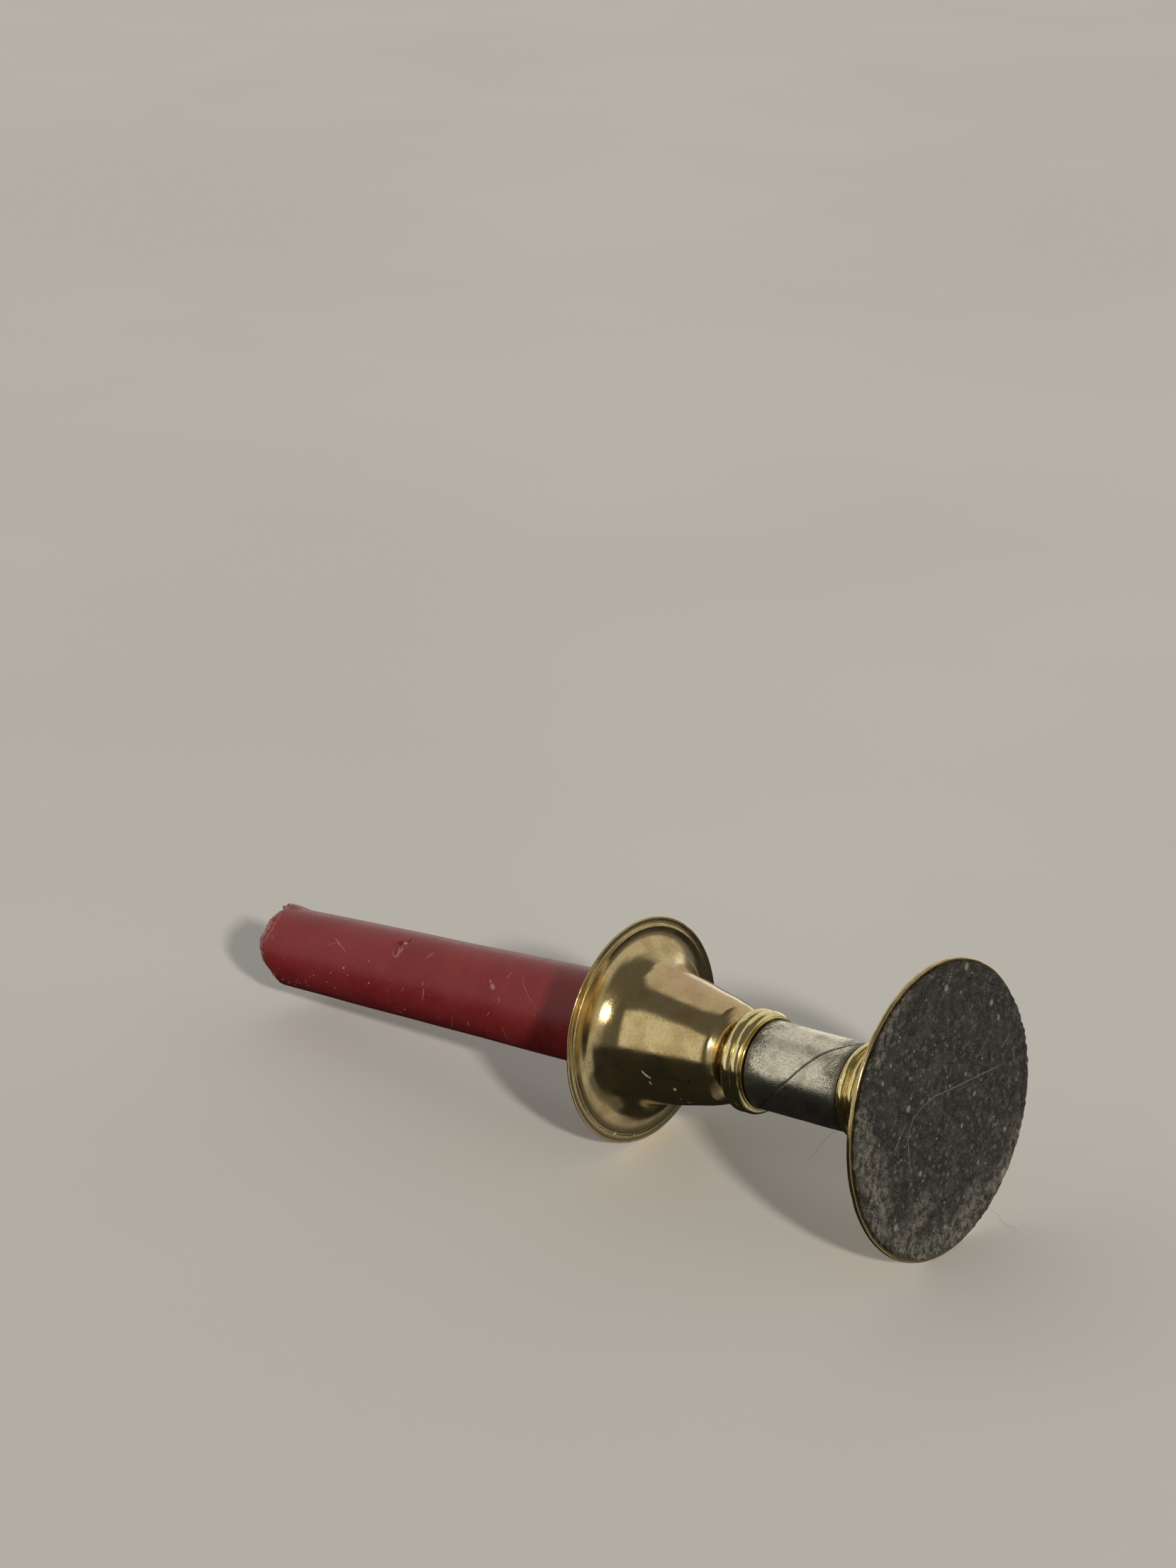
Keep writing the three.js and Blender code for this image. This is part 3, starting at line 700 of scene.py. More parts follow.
shader = add(tree, "ShaderNodeBsdfPrincipled", {
    "Base Color": colour, "Metallic": 1.0, "Roughness": roughness, "Normal": bump})
add(tree, "ShaderNodeOutputMaterial", {"Surface": shader})
print("polished brass has", len(tree.nodes), "nodes")

# %% [markdown]
# ### Tarnished plate
#
# The sleeve is thin sheet with a silvery plating. The plate has been rubbed and has tarnished in short
# smears along the stem, darkest at both ends where damp sat under the rings, and dirt fills the seam.
# So the colour is a warm silver under streaky grey clouds, with dark fringes at the ends and a dark
# line on the seam's own path. Tarnish is rougher than bare plate, so the roughness follows it.

# %% Tarnished plate: smears and specks
plate, tree = new_material("tarnished_plate")
place = millimetres(tree)
sheet, height, _, _ = unrolled(tree, place, SLEEVE_RADIUS)
# The smears are a millimetre long and a quarter wide, the clouds 4.5 mm across and the specks 0.3 mm.
smeared = add(tree, "ShaderNodeMapping", {
    "Vector": sheet, "Rotation": (0.0, 0.0, 0.9), "Scale": (0.8, 3.4, 1.0)})
streaks = add(tree, NOISE, {
    "Vector": smeared, "Scale": 1.3, "Detail": 4.0, "Roughness": 0.7, "Distortion": 0.8})
clouds = add(tree, NOISE, {"Vector": place, "Scale": 0.22, "Detail": 3.0})
specks = add(tree, NOISE, {"Vector": place, "Scale": 3.2, "Detail": 3.0, "Roughness": 0.75})
colour = coats(tree, linear("#FBF4DE"), [
    (add(tree, RANGE, {0: streaks, 1: 0.46, 2: 0.72}), 0.8, "#8F8873"),
    (add(tree, RANGE, {0: clouds, 1: 0.48, 2: 0.72}), 1.0, "#C2BAA4"),
    (add(tree, RANGE, {0: specks, 1: 0.54, 2: 0.74}), 1.0, "#5F594A")])

# %% Tarnished plate: fringes, seam and surface
ragged_height = add(tree, MATH, {0: streaks, 1: 3.2, 2: height}, operation="MULTIPLY_ADD")
low_fringe = add(tree, RANGE, {0: ragged_height, 1: 24.4, 2: 22.6})
high_fringe = add(tree, RANGE, {0: ragged_height, 1: 44.2, 2: 46.2})
near_top = add(tree, RANGE, {0: height, 1: 36.5, 2: 44.0})
near_bottom = add(tree, RANGE, {0: height, 1: 28.5, 2: 21.0})
end_wear = add(tree, MATH, {0: near_top, 1: near_bottom}, operation="MAXIMUM")
uneven = add(tree, MATH, {0: clouds, 1: 0.5, 2: specks}, operation="MULTIPLY_ADD")
blotchy = add(tree, RANGE, {0: uneven, 1: 0.7, 2: 0.8})
blotches = add(tree, MATH, {0: blotchy, 1: end_wear}, operation="MULTIPLY")
fringe = add(tree, MATH, {0: low_fringe, 1: high_fringe}, operation="MAXIMUM")
fringe = add(tree, MATH, {0: fringe, 1: blotches}, operation="MAXIMUM")
dirty_seam = joined(SEAM, 0.42, MM_A_DEGREE)
dirty_seam += joined([(43.9, 17), (42.4, 6)], 0.2, MM_A_DEGREE)
dirty_seam += joined([(42.4, 6), (41.0, -2)], 0.14, MM_A_DEGREE)
dirt_line = scratches(tree, wavy(tree, sheet, 0.8, 0.12), dirty_seam)
colour = coats(tree, colour, [(fringe, 0.8, "#3F3B31"), (dirt_line, 0.8, "#3A3228")])
dark = add(tree, MATH, {0: fringe, 1: dirt_line}, operation="MAXIMUM")
roughness = add(tree, RANGE, {0: streaks, 1: 0.4, 2: 0.75, 3: 0.17, 4: 0.33})
roughness = add(tree, MATH, {0: dark, 1: 0.25, 2: roughness}, operation="MULTIPLY_ADD")
relief = add(tree, MATH, {0: specks, 1: 0.6, 2: streaks}, operation="MULTIPLY_ADD")
bump = add(tree, "ShaderNodeBump", {"Strength": 1.0, "Distance": 0.02 * MM, "Height": relief})
shader = add(tree, "ShaderNodeBsdfPrincipled", {
    "Base Color": colour, "Metallic": 1.0, "Roughness": roughness, "Normal": bump})
add(tree, "ShaderNodeOutputMaterial", {"Surface": shader})
print("tarnished plate has", len(tree.nodes), "nodes")

# %% [markdown]
# ### Charcoal felt
#
# Felt is wool fibre matted together, so up close it is a tangle of short curly threads. This one is a
# sooty charcoal and years of standing on dusty shelves have left grey dust pressed into it, pale
# specks, rubbed smears near its edge and some stray fibres lying on it. The threads are thin lines
# drawn where a noise crosses its middle value, which gives a real tangle at the real thickness.

# %% Charcoal felt: tangle, mottle and fluff
# The threads curl about once a millimetre and are 0.04 mm thick. The clouds of dust are 7 mm across, the
# mottle 2 mm, the soft spots 1.6 mm apart and the tufts of fluff 0.4 mm.
felt_cloth, tree = new_material("charcoal_felt")
place = millimetres(tree)
tangle = None
for scale, shift in ((0.9, 0.0), (1.3, 40.0), (1.9, 80.0)):
    moved = add(tree, VECTOR, {0: place, 1: (shift, shift, 0.0)}, operation="ADD")
    waves = add(tree, NOISE, {"Vector": moved, "Scale": scale, "Detail": 1.5, "Distortion": 1.2})
    centred = add(tree, MATH, {0: waves, 1: 0.5}, operation="SUBTRACT")
    off_middle = add(tree, MATH, {0: centred}, operation="ABSOLUTE")
    threads = add(tree, RANGE, {0: off_middle, 1: 0.022, 2: 0.004})
    tangle = threads if tangle is None else add(tree, MATH, {0: tangle, 1: threads}, operation="MAXIMUM")
clouds = add(tree, NOISE, {"Vector": place, "Scale": 0.14, "Detail": 5.0, "Roughness": 0.65})
mottle = add(tree, NOISE, {"Vector": place, "Scale": 0.5, "Detail": 5.0, "Roughness": 0.72})
fluff = add(tree, NOISE, {"Vector": place, "Scale": 2.4, "Detail": 3.0, "Roughness": 0.75})
soft_cells = add(tree, VORONOI, {"Vector": wavy(tree, place, 0.9, 0.6), "Scale": 0.62, "Randomness": 1.0})
soft_dice = add(tree, "ShaderNodeSeparateXYZ", {0: (soft_cells, "Color")})
soft_spots = add(tree, RANGE, {0: (soft_cells, "Distance"), 1: 0.5, 2: 0.05})
soft_few = add(tree, RANGE, {0: (soft_dice, "X"), 1: 0.25, 2: 0.9})
soft_dots = add(tree, MATH, {0: soft_spots, 1: soft_few}, operation="MULTIPLY")
tufts = add(tree, RANGE, {0: fluff, 1: 0.48, 2: 0.62})
on_mottle = add(tree, RANGE, {0: mottle, 1: 0.47, 2: 0.62, 3: 0.1, 4: 1.0})
pale_fluff = add(tree, MATH, {0: tufts, 1: on_mottle}, operation="MULTIPLY")
colour = coats(tree, linear("#090908"), [
    (add(tree, RANGE, {0: mottle, 1: 0.42, 2: 0.6}), 1.0, "#242422"),
    (add(tree, RANGE, {0: clouds, 1: 0.45, 2: 0.66}), 0.6, "#44423D"),
    (soft_dots, 0.8, "#777569"), (pale_fluff, 0.85, "#7D7A70"), (tangle, 0.3, "#726F66")])

# %% Charcoal felt: smears, crumbs and stray fibres
# Rubbed, dusty smears towards the low front edge and the bottom, broken up by the mottle.
smears = scratches(tree, wavy(tree, place, 0.25, 2.2), [
    (8.0, -27.5, -1.0, -28.5, 5.0), (-3.7, -25.4, -12.2, -23.6, 6.0), (-12.0, -25.5, -17.5, -24.0, 4.5),
    (-22.4, -16.4, -28.4, -8.2, 4.5), (-27.4, 2.4, -29.4, -5.2, 6.0), (-17.6, -8.1, -21.0, -12.0, 4.0),
    (-24.0, 10.0, -28.0, 4.0, 6.0), (-21.0, 21.5, -24.0, 17.0, 5.0), (-14.0, 27.0, -17.0, 24.5, 3.0),
    (29.0, -11.7, 26.4, -15.8, 2.4), (24.0, -17.5, 18.0, -23.0, 2.4)])
worn = add(tree, MATH, {0: fluff, 1: 0.6, 2: mottle}, operation="MULTIPLY_ADD")
worn_through = add(tree, RANGE, {0: worn, 1: 0.68, 2: 0.98})
dusty = add(tree, MATH, {0: smears, 1: worn_through}, operation="MULTIPLY")

# Pale crumbs: a scatter of tiny ones, and the larger ones one by one, as (x, y, size).
cells = add(tree, VORONOI, {"Vector": place, "Scale": 0.42, "Randomness": 1.0})
cell_dice = add(tree, "ShaderNodeSeparateXYZ", {0: (cells, "Color")})
specks = add(tree, RANGE, {0: (cells, "Distance"), 1: 0.17, 2: 0.06})
few = add(tree, RANGE, {0: (cell_dice, "X"), 1: 0.25, 2: 0.6})
tiny = add(tree, MATH, {0: specks, 1: few}, operation="MULTIPLY")
larger = [
    (28.1, 10.7, 0.75), (26.0, 3.2, 0.6), (13.0, 21.3, 0.5), (5.0, -12.1, 0.65), (-10.5, -9.2, 0.55),
    (-18.8, -18.7, 0.65), (-22.0, 20.5, 0.9), (-12.5, 21.8, 0.5), (-0.4, 11.3, 0.45), (5.0, 8.4, 0.4),
    (-16.0, 11.4, 0.4), (17.3, 19.0, 0.6), (-15.3, 27.1, 0.6), (-22.3, 22.4, 0.5), (13.6, -20.4, 0.45),
    (16.3, -17.3, 0.35), (-25.7, -1.5, 0.5), (-5.7, 6.2, 0.35), (29.5, -12.6, 0.6)]
crumbs = scratches(tree, wavy(tree, place, 1.1, 0.3), [
    (x, y, x + 0.15, y + 0.1, 1.4 * size) for x, y, size in larger])
crumbs = add(tree, MATH, {0: crumbs, 1: tiny}, operation="MAXIMUM")

# One long stray fibre curves down the middle, with four short ones round it.
strays = joined([(2.5, 20), (3, 14.4), (3.4, 8.3), (3.8, 2.7), (4.4, -2.8), (3.7, -7.1), (2.4, -10.6),
                 (-0.5, -12.7), (-4.6, -12.9), (-9, -12.4)], 0.17)
strays += [(8.1, 25.4, 6.3, 22.2, 0.2), (-1.8, -17.2, 2.3, -13.1, 0.17),
           (10.0, 17.0, 7.0, 12.5, 0.12), (-7.0, 17.5, -9.5, 15.0, 0.12)]
stray_fibres = scratches(tree, place, strays)
colour = coats(tree, colour, [
    (dusty, 0.75, "#9A9588"), (crumbs, 0.8, "#A8A391"), (stray_fibres, 0.8, "#8A867B")])

# %% Charcoal felt: the surface
nap = add(tree, MATH, {0: tangle, 1: 0.5, 2: mottle}, operation="MULTIPLY_ADD")
lying_on_it = add(tree, MATH, {0: stray_fibres, 1: crumbs}, operation="MAXIMUM")
nap = add(tree, MATH, {0: lying_on_it, 1: 1.2, 2: nap}, operation="MULTIPLY_ADD")
bump = add(tree, "ShaderNodeBump", {"Strength": 0.9, "Distance": 0.14 * MM, "Height": nap})
shader = add(tree, "ShaderNodeBsdfPrincipled", {
    "Base Color": colour, "Roughness": 0.95, "Specular IOR Level": 0.25, "Sheen Weight": 0.12,
    "Sheen Roughness": 0.5, "Normal": bump})
add(tree, "ShaderNodeOutputMaterial", {"Surface": shader})
print("felt has", len(tree.nodes), "nodes")

# %% [markdown]
# ### Burgundy wax
#
# The taper was dipped in coloured wax, which sets with a smooth, slightly greasy skin. A little light
# goes in and comes back red, so the wax has some subsurface scattering. Where it has been knocked or
# scraped, the bruised wax scatters white and turns pink, so scuffs and scratches are a pale pink. The
# torn edges are pale pink too, partly bruised wax and partly a painted highlight along the edges.
# Crumbs of wax dust cling to the lower half. The gouge and the torn end are real shape: how deep a
# point lies below the candle's own taper sets the colour. It is paler where the skin is torn at the
# end, and darker in the gouge and dents, which is painted shade in the hollows.

# %% Burgundy wax: the skin, the tear and the gouge
wax, tree = new_material("burgundy_wax")
place = millimetres(tree)
AROUND = 10.4
MM_TURN = AROUND * math.pi / 180
sheet, height, off_axis, turn = unrolled(tree, place, AROUND)
# The red drifts over 11 mm, as it does in dipped wax, and the greasy bloom on the skin over 1.4 mm.
clouds = add(tree, NOISE, {"Vector": place, "Scale": 0.09, "Detail": 3.0})
bloom = add(tree, NOISE, {"Vector": place, "Scale": 0.7, "Detail": 4.0, "Roughness": 0.65})
taper = add(tree, MATH, {0: height, 1: -CANDLE_TAPER, 2: CANDLE_RADIUS}, operation="MULTIPLY_ADD")
depth = add(tree, MATH, {0: taper, 1: off_axis}, operation="SUBTRACT")
broken = add(tree, RANGE, {0: depth, 1: 0.14, 2: 0.4})
at_end = add(tree, RANGE, {0: height, 1: 106.2, 2: 108.2})
torn = add(tree, MATH, {0: broken, 1: at_end}, operation="MULTIPLY")
shallow = add(tree, RANGE, {0: depth, 1: 1.5, 2: 0.6})
# Pale pink along the torn edge: partly bruised wax, partly a painted highlight on the edge.
edge_line = add(tree, MATH, {0: torn, 1: shallow}, operation="MULTIPLY")
uneven = add(tree, RANGE, {0: bloom, 1: 0.38, 2: 0.62, 3: 0.3, 4: 0.95})
bruised_edge_and_highlight = add(tree, MATH, {0: edge_line, 1: uneven}, operation="MULTIPLY")
# Darker where the wall is dug in, away from the end: painted shade in the gouge and dents.
along_wall = add(tree, RANGE, {0: height, 1: 103.0, 2: 102.0})
gouge_painted_shade = add(tree, MATH, {0: broken, 1: along_wall}, operation="MULTIPLY")

# Soot round the wick, in the hollow that the flame left.
near_wick = add(tree, RANGE, {0: off_axis, 1: 3.4, 2: 1.0})
in_hollow = add(tree, RANGE, {0: height, 1: 104.0, 2: 105.0})
soot = add(tree, MATH, {0: near_wick, 1: in_hollow}, operation="MULTIPLY")
colour = coats(tree, linear("#993135"), [
    (add(tree, RANGE, {0: clouds, 1: 0.4, 2: 0.62}), 1.0, "#90292D"),
    (add(tree, RANGE, {0: bloom, 1: 0.48, 2: 0.78}), 0.4, "#A5474A"),
    (torn, 0.7, "#9A4C48"), (bruised_edge_and_highlight, 1.0, "#C48C86"), (gouge_painted_shade, 0.75, "#5E1A1C"), (soot, 1.0, "#1B0F0D")])

# %% Burgundy wax: scratches and scuffs
# Each mark is (height, degrees, height, degrees, half width). They lie in the groups where the candle
# was knocked. The step that the torn skin leaves near the end gets one more pale line, partly bruised wax
# and partly a painted highlight along the step.
MARKS = [
    (66.6, 30, 66.5, 34, 0.45), (66.3, 34, 66.9, 43, 0.3), (67.4, 31, 67.0, 37, 0.28),
    (68.4, 35, 68.3, 41, 0.16), (68.3, 41, 66.9, 45, 0.16), (66.9, 45, 66.0, 41, 0.13),
    (87.3, 37, 82.6, 52, 0.13), (86.0, 42, 85.3, 45, 0.2), (88.6, 49, 85.9, 41, 0.09),
    (57.3, 28, 57.6, 33, 0.28), (57.8, 33, 58.2, 37, 0.16), (56.2, 77, 56.1, 84, 0.2),
    (56.3, 84, 56.4, 92, 0.12), (56.6, 69, 56.5, 71, 0.24), (105.4, 48, 106.8, 57, 0.1),
    (106.9, 52, 105.9, 60, 0.09), (36.1, 53, 35.7, 55, 0.75), (37.2, 47, 36.9, 49, 0.3),
    (29.9, 26, 27.6, 43, 0.09), (27.6, 43, 25.1, 55, 0.1), (25.1, 55, 23.7, 60, 0.09),
    (33.0, 39, 32.6, 30, 0.12), (32.3, 103, 32.3, 124, 0.14), (32.3, 124, 30.9, 129, 0.12),
    (48.0, 108, 50.5, 132, 0.13), (43.2, 109, 43.6, 115, 0.2), (62.6, 82, 62.9, 86, 0.14),
    (33.4, 65, 33.0, 70, 0.16), (35.8, 86, 36.5, 91, 0.13), (66.6, 123, 65.8, 128, 0.3),
    (99.4, 132, 103.6, 166, 0.12), (95.4, 108, 95.7, 114, 0.2)]
nearly_straight = wavy(tree, sheet, 0.5, 0.2)
scuffs = scratches(tree, nearly_straight, [
    (h0, a0 * MM_TURN, h1, a1 * MM_TURN, wide) for h0, a0, h1, a1, wide in MARKS])
# The pale line along the torn skin's step is partly bruised wax and partly a painted highlight.
step_line = [(108.2, 17), (107.6, 44), (108.5, 61), (109.6, 72), (109.6, 108), (108.9, 126)]
torn_step_and_highlight = scratches(tree, wavy(tree, sheet, 0.9, 0.28), joined(step_line, 0.17, MM_TURN))
scuffs = add(tree, MATH, {0: scuffs, 1: torn_step_and_highlight}, operation="MAXIMUM")
chalky = add(tree, NOISE, {"Vector": place, "Scale": 2.6, "Detail": 2.0})
broken_up = add(tree, RANGE, {0: chalky, 1: 0.3, 2: 0.55, 3: 0.3, 4: 1.0})
scuffs_and_step_highlight = add(tree, MATH, {0: scuffs, 1: broken_up}, operation="MULTIPLY")

# %% Burgundy wax: dust
# Pale crumbs by the flaws, as (height, degrees, size), and a scatter of tiny ones, one to every 1.3 mm at
# most and thicker below.
CRUMBS = [
    (66.7, 20, 0.5), (81.9, 74, 0.3), (73.7, 87, 0.28), (85.8, 109, 0.24), (95.9, 121, 0.3),
    (102.7, 126, 0.5), (106.9, 114, 0.75), (104.3, 121, 0.5), (99.6, 119, 0.36), (98.2, 118, 0.3),
    (100.9, 128, 0.3), (63.8, 117, 0.26), (88.0, 102, 0.22), (86.0, 86, 0.2), (80.4, 83, 0.2),
    (74.5, 57, 0.16), (92.0, 96, 0.2), (98.5, 112, 0.22)]
crumbs = scratches(tree, nearly_straight, [
    (h, a * MM_TURN, h + 0.12, a * MM_TURN + 0.16, size) for h, a, size in CRUMBS])
cells = add(tree, VORONOI, {"Vector": place, "Scale": 0.75, "Randomness": 1.0})
cell_dice = add(tree, "ShaderNodeSeparateXYZ", {0: (cells, "Color")})
upwards = add(tree, MATH, {0: turn}, operation="COSINE")
below = add(tree, RANGE, {0: upwards, 1: 0.55, 2: -0.3, 3: 0.0, 4: 0.32})
chance = add(tree, MATH, {0: (cell_dice, "X"), 1: below}, operation="ADD")
specks = add(tree, RANGE, {0: (cells, "Distance"), 1: 0.17, 2: 0.08})
few = add(tree, RANGE, {0: chance, 1: 0.78, 2: 1.1})
tiny = add(tree, MATH, {0: specks, 1: few}, operation="MULTIPLY")
faint = add(tree, MATH, {0: tiny, 1: 0.6}, operation="MULTIPLY")
dust = add(tree, MATH, {0: crumbs, 1: faint}, operation="MAXIMUM")
colour = coats(tree, colour, [(scuffs_and_step_highlight, 0.75, "#D39C98"), (dust, 0.85, "#D5AFA3")])

# %% Burgundy wax: the surface
roughness = add(tree, RANGE, {0: bloom, 1: 0.3, 2: 0.75, 3: 0.33, 4: 0.45})
rubbed = add(tree, MATH, {0: torn, 1: dust}, operation="MAXIMUM")
rubbed = add(tree, MATH, {0: scuffs_and_step_highlight, 1: rubbed}, operation="MAXIMUM")
roughness = add(tree, MATH, {0: rubbed, 1: 0.2, 2: roughness}, operation="MULTIPLY_ADD")
waxy = add(tree, MATH, {0: bloom, 1: 0.35}, operation="MULTIPLY")
relief = add(tree, MATH, {0: tiny, 1: 1.4, 2: waxy}, operation="MULTIPLY_ADD")
rough_tear = add(tree, NOISE, {"Vector": place, "Scale": 1.8, "Detail": 3.0})
deeper = add(tree, MATH, {0: rough_tear, 1: 3.0}, operation="MULTIPLY")
relief = add(tree, MATH, {0: torn, 1: deeper, 2: relief}, operation="MULTIPLY_ADD")
bump = add(tree, "ShaderNodeBump", {"Strength": 1.0, "Distance": 0.05 * MM, "Height": relief})
shader = add(tree, "ShaderNodeBsdfPrincipled", {
    "Base Color": colour, "Roughness": roughness, "IOR": 1.45, "Subsurface Weight": 0.15,
    "Subsurface Scale": 1.2 * MM, "Subsurface Radius": (1.0, 0.25, 0.2), "Normal": bump})
add(tree, "ShaderNodeOutputMaterial", {"Surface": shader})
print("wax has", len(tree.nodes), "nodes")

# %% [markdown]
# ### Charred cotton
#
# The wick's cotton burned to a brittle black with a little grey ash on its high strands. Soot has no
# gloss at all, so the finish is nearly black and very rough, and a fine noise carries both the ash and
# the frayed surface.

# %% Charred cotton
char, tree = new_material("charred_cotton")
place = millimetres(tree)
# The frayed ends of the strands are about 0.3 mm across.
strands = add(tree, NOISE, {"Vector": place, "Scale": 3.5, "Detail": 4.0, "Roughness": 0.7})
ash = add(tree, RANGE, {0: strands, 1: 0.56, 2: 0.72})
colour = coats(tree, linear("#15110E"), [(ash, 0.5, "#5C5850")])
roughness = add(tree, RANGE, {0: strands, 1: 0.3, 2: 0.7, 3: 0.7, 4: 0.95})
bump = add(tree, "ShaderNodeBump", {"Strength": 1.0, "Distance": 0.08 * MM, "Height": strands})
shader = add(tree, "ShaderNodeBsdfPrincipled", {"Base Color": colour, "Roughness": roughness, "Normal": bump})
add(tree, "ShaderNodeOutputMaterial", {"Surface": shader})
print("charred cotton has", len(tree.nodes), "nodes")

# %% [markdown]
# ### Cotton lint
#
# The lint is undyed cotton that has picked up a little dust. A fibre this thin shows no weave, only a
# soft edge of light, so it gets a pale colour that drifts along its length and a touch of sheen.

# %% Cotton lint
# The colour drifts about once a millimetre along the fibre.
lint, tree = new_material("cotton_lint")
fuzz = add(tree, NOISE, {"Vector": millimetres(tree), "Scale": 1.2, "Detail": 2.0})
paler = add(tree, RANGE, {0: fuzz, 1: 0.35, 2: 0.65})
colour = coats(tree, linear("#8E897C"), [(paler, 1.0, "#B4AFA2")])
roughness = add(tree, RANGE, {0: fuzz, 1: 0.3, 2: 0.7, 3: 0.75, 4: 0.95})
shader = add(tree, "ShaderNodeBsdfPrincipled", {
    "Base Color": colour, "Roughness": roughness, "Sheen Weight": 0.3})
add(tree, "ShaderNodeOutputMaterial", {"Surface": shader})
print("cotton lint has", len(tree.nodes), "nodes")

# %% [markdown]
# ### Zinc-plated steel
#
# The rod, nut and washer that hold the stick together are plain plated hardware. Zinc sets in feathery
# crystals, each a slightly different grey, and chalks a little as it ages, so cells give the crystals
# and a noise the pale bloom over them. Fine lines along the rod are left by the drawing of the steel.

# %% Zinc-plated steel
zinc, tree = new_material("zinc_steel")
place = millimetres(tree)
# The crystals are 1.7 mm across, the chalky patches 2 mm, and the drawn lines a sixth of a millimetre apart.
crystals = add(tree, VORONOI, {"Vector": wavy(tree, place, 0.8, 0.5), "Scale": 0.6})
spangle = add(tree, "ShaderNodeSeparateXYZ", {0: (crystals, "Color")})
oxide = add(tree, NOISE, {"Vector": place, "Scale": 0.5, "Detail": 5.0, "Roughness": 0.65})
chalk = add(tree, RANGE, {0: oxide, 1: 0.5, 2: 0.72})
colour = coats(tree, linear("#A9ADB0"), [((spangle, "X"), 1.0, "#8F9396"), (chalk, 1.0, "#B9B8B0")])
lines = add(tree, VECTOR, {0: place, 1: (0.2, 6.0, 6.0)}, operation="MULTIPLY")
drawn = add(tree, NOISE, {"Vector": lines, "Scale": 1.0, "Detail": 2.0})
roughness = add(tree, RANGE, {0: oxide, 1: 0.35, 2: 0.7, 3: 0.3, 4: 0.55})
bump = add(tree, "ShaderNodeBump", {"Strength": 1.0, "Distance": 0.01 * MM, "Height": drawn})
shader = add(tree, "ShaderNodeBsdfPrincipled", {
    "Base Color": colour, "Metallic": 1.0, "Roughness": roughness, "Normal": bump})
add(tree, "ShaderNodeOutputMaterial", {"Surface": shader})
print("zinc has", len(tree.nodes), "nodes")

# %% [markdown]
# ## Finishing the pieces
#
# Each piece is one real material, so it takes one finish, and the lint fibres share theirs. The three
# hidden pieces of hardware are shown just as the CAD made them, and only get their zinc.

# %% Give every piece its finish
for finish, pieces in (
        (aged_brass, (foot, cup)), (bright_brass, (lower_ring, upper_ring)), (plate, (sleeve,)),
        (felt_cloth, (felt,)), (wax, (stub,)), (char, (wick,)), (lint, fibres)):
    for piece in pieces:
        piece.data.materials.append(finish)
    print(finish.name, "covers", len(pieces), "pieces")
for node in ("tie_rod", "base_nut", "base_washer"):
    frame["nodes"][node].data.materials.clear()
    frame["nodes"][node].data.materials.append(zinc)

# %% [markdown]
# ## Studio floor
#
# A wide pale floor, flat all round and rising into a low wall far away. A turned outline gives both in
# one mesh, so no edge shows where they meet. Polished metal shows whatever is round it, so the floor is
# kept out of the reflections and bounces, and the room is a soft light of its own.

# %% Floor
FLOOR_FLAT, FLOOR_RISE, WALL_TOP, FLOOR_SIDES = 6.0, 1.5, 5.0, 96
floor_outline = [(r, 0.0) for r in (0.3, 1.0, 2.0, 4.0, FLOOR_FLAT)]
floor_outline += [(FLOOR_FLAT + FLOOR_RISE * math.sin(t), FLOOR_RISE * (1 - math.cos(t)))
                  for t in np.linspace(0.1, math.pi / 2, 14)]
floor_outline += [(FLOOR_FLAT + FLOOR_RISE, WALL_TOP)]
floor_points = [(0.0, 0.0, 0.0)]
for r, z in floor_outline:
    floor_points += [(r * math.cos(t), r * math.sin(t), z) for t in angles(FLOOR_SIDES)]
floor_faces = [(0, 1 + i, 1 + (i + 1) % FLOOR_SIDES) for i in range(FLOOR_SIDES)]
for ring_number in range(len(floor_outline) - 1):
    first = 1 + ring_number * FLOOR_SIDES
    for i in range(FLOOR_SIDES):
        j = (i + 1) % FLOOR_SIDES
        floor_faces.append((first + i, first + FLOOR_SIDES + i, first + FLOOR_SIDES + j, first + j))
floor_mesh = bpy.data.meshes.new("floor")
floor_mesh.from_pydata(floor_points, [], floor_faces)
floor_mesh.shade_smooth()
floor = bpy.data.objects.new("floor", floor_mesh)
bpy.context.scene.collection.objects.link(floor)
floor.visible_glossy = False
floor.visible_diffuse = False
floor.visible_shadow = False
print("the floor has", len(floor_mesh.polygons), "faces")

# %% Floor paper
# The floor's own coordinates are in metres, so the faint clouds on the paper are a third of a metre across.
paper, tree = new_material("pale_paper")
where = (add(tree, "ShaderNodeTexCoord"), "Object")
cloudy = add(tree, NOISE, {"Vector": where, "Scale": 3.0, "Detail": 3.0})
colour = coats(tree, linear("#F4F3F0"), [(add(tree, RANGE, {0: cloudy, 1: 0.35, 2: 0.65}), 1.0, "#EEEDEA")])
shader = add(tree, "ShaderNodeBsdfPrincipled", {
    "Base Color": colour, "Roughness": 0.9, "Specular IOR Level": 0.2})
add(tree, "ShaderNodeOutputMaterial", {"Surface": shader})
floor.data.materials.append(paper)

# %% [markdown]
# ## The room
#
# What brass looks like is what it mirrors. The room is a sky that changes with direction: bright walls
# up to above head height, a darker ceiling, a gap of shade behind the camera, and darkness below. That
# gives the metal its dark underside and its long pale bands. Each part of the room is a patch between
# two compass angles and two heights, with soft edges, and its light is added to the rest.

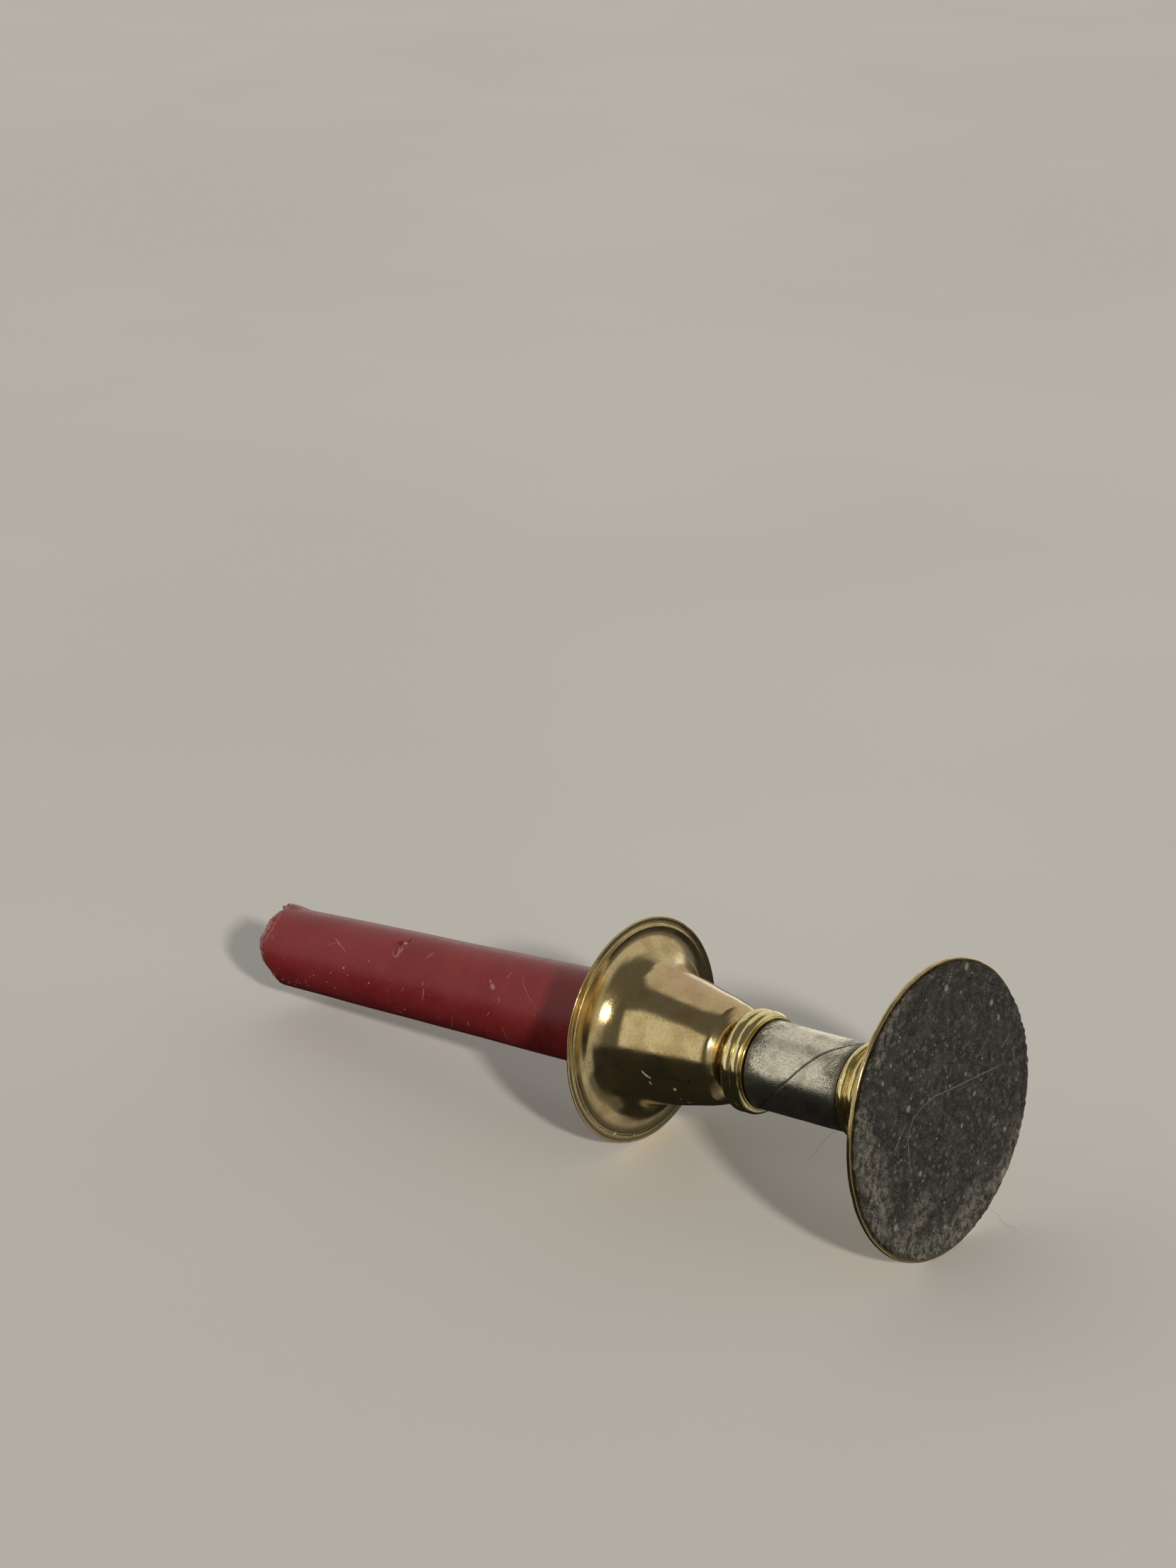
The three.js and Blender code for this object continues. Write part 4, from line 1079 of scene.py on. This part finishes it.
# %% The room's light
# (compass from, to, height from, to, brightness, edge softness). All angles are in degrees, and a
# compass angle of 0 is the front, growing to the right.
ROOM = [
    (-200, 200, -5, 100, 0.09, 3),
    (-200, -36, -5, 50, 0.46, 4),
    (-35, 3, -4, 50, 0.56, 2),
    (55, 122, -6, 26, 0.36, 8),
    (122, 200, -4, 38, 0.45, 8),
    (98, 108, -3, 7, 3.5, 3),
    (-172, -108, 50, 72, 0.42, 6),
    (-178, -104, -6, 6, 0.55, 5),
    (66, 125, -26, -5, 0.36, 6),
    (98, 150, -60, -27, 0.26, 10),
    (75, 130, -76, -27, 0.11, 8),
    (130, 200, -13, -4, 0.15, 4),
    (-200, -120, -20, -6, 0.25, 9),
]
EVERYWHERE = 0.012
world = bpy.data.worlds.new("studio")
bpy.context.scene.world = world
world.use_nodes = True
tree = world.node_tree
tree.nodes.clear()
direction = add(tree, "ShaderNodeSeparateXYZ", {0: (add(tree, "ShaderNodeTexCoord"), "Generated")})
to_front = add(tree, MATH, {0: (direction, "Y"), 1: -1.0}, operation="MULTIPLY")
heading = add(tree, MATH, {0: (direction, "X"), 1: to_front}, operation="ARCTAN2")
compass = add(tree, MATH, {0: heading}, operation="DEGREES")
climb = add(tree, MATH, {0: (direction, "Z")}, operation="ARCSINE")
above = add(tree, MATH, {0: climb}, operation="DEGREES")
brightness = EVERYWHERE
for left, right, low, high, strength, soft in ROOM:
    wide = within(tree, compass, left - soft, left + soft, right - soft, right + soft)
    tall = within(tree, above, low - soft / 2, low + soft / 2, high - soft, high + soft)
    patch = add(tree, MATH, {0: wide, 1: tall}, operation="MULTIPLY")
    brightness = add(tree, MATH, {0: patch, 1: strength, 2: brightness}, operation="MULTIPLY_ADD")
sky = add(tree, "ShaderNodeBackground", {"Color": linear("#FFFCF4"), "Strength": brightness})
add(tree, "ShaderNodeOutputWorld", {"Surface": sky})
print("the room has", len(ROOM), "patches of light")

# %% [markdown]
# ## The lamp
#
# The crisp shadow of the drip rim on the candle needs one small, strong light. A sun lamp lights the
# wide floor evenly, and its angle gives the shadow the soft edge of a round lamp some way off. It
# stands high on the right, behind the camera.

# %% The lamp
TOWARDS_LAMP = Vector((0.778, -0.442, 0.447)).normalized()
lamp_data = bpy.data.lights.new("key_lamp", "SUN")
lamp_data.angle = math.radians(4.4)
lamp_data.energy = 1.5
lamp_data.color = linear("#FFF5E6")[:3]
lamp = bpy.data.objects.new("key_lamp", lamp_data)
bpy.context.scene.collection.objects.link(lamp)
lamp.location = 2.0 * TOWARDS_LAMP
lamp.rotation_euler = (-TOWARDS_LAMP).to_track_quat("-Z", "Y").to_euler()
print("the lamp stands", round(math.degrees(math.asin(TOWARDS_LAMP.z))), "degrees above the floor")

# %% [markdown]
# ## Camera
#
# The camera looks down at the object from the front right, past the felt under the base. A long lens
# from over half a metre away keeps the small stick's proportions natural. Colours are shown without a
# film curve, so that the hex values come out as they were chosen.

# %% Camera
camera_data = bpy.data.cameras.new("camera")
camera_data.sensor_width = 36
camera_data.lens = 80.07
camera = bpy.data.objects.new("camera", camera_data)
bpy.context.scene.collection.objects.link(camera)
camera.location = Vector((456.5, -535.7, 359.7)) * MM
camera.rotation_euler = Vector((-0.60306, 0.70687, -0.36968)).to_track_quat("-Z", "Y").to_euler()
bpy.context.scene.camera = camera
bpy.context.scene.view_settings.view_transform = "Standard"
print("the camera is", round(camera.location.length, 2), "m from the object")
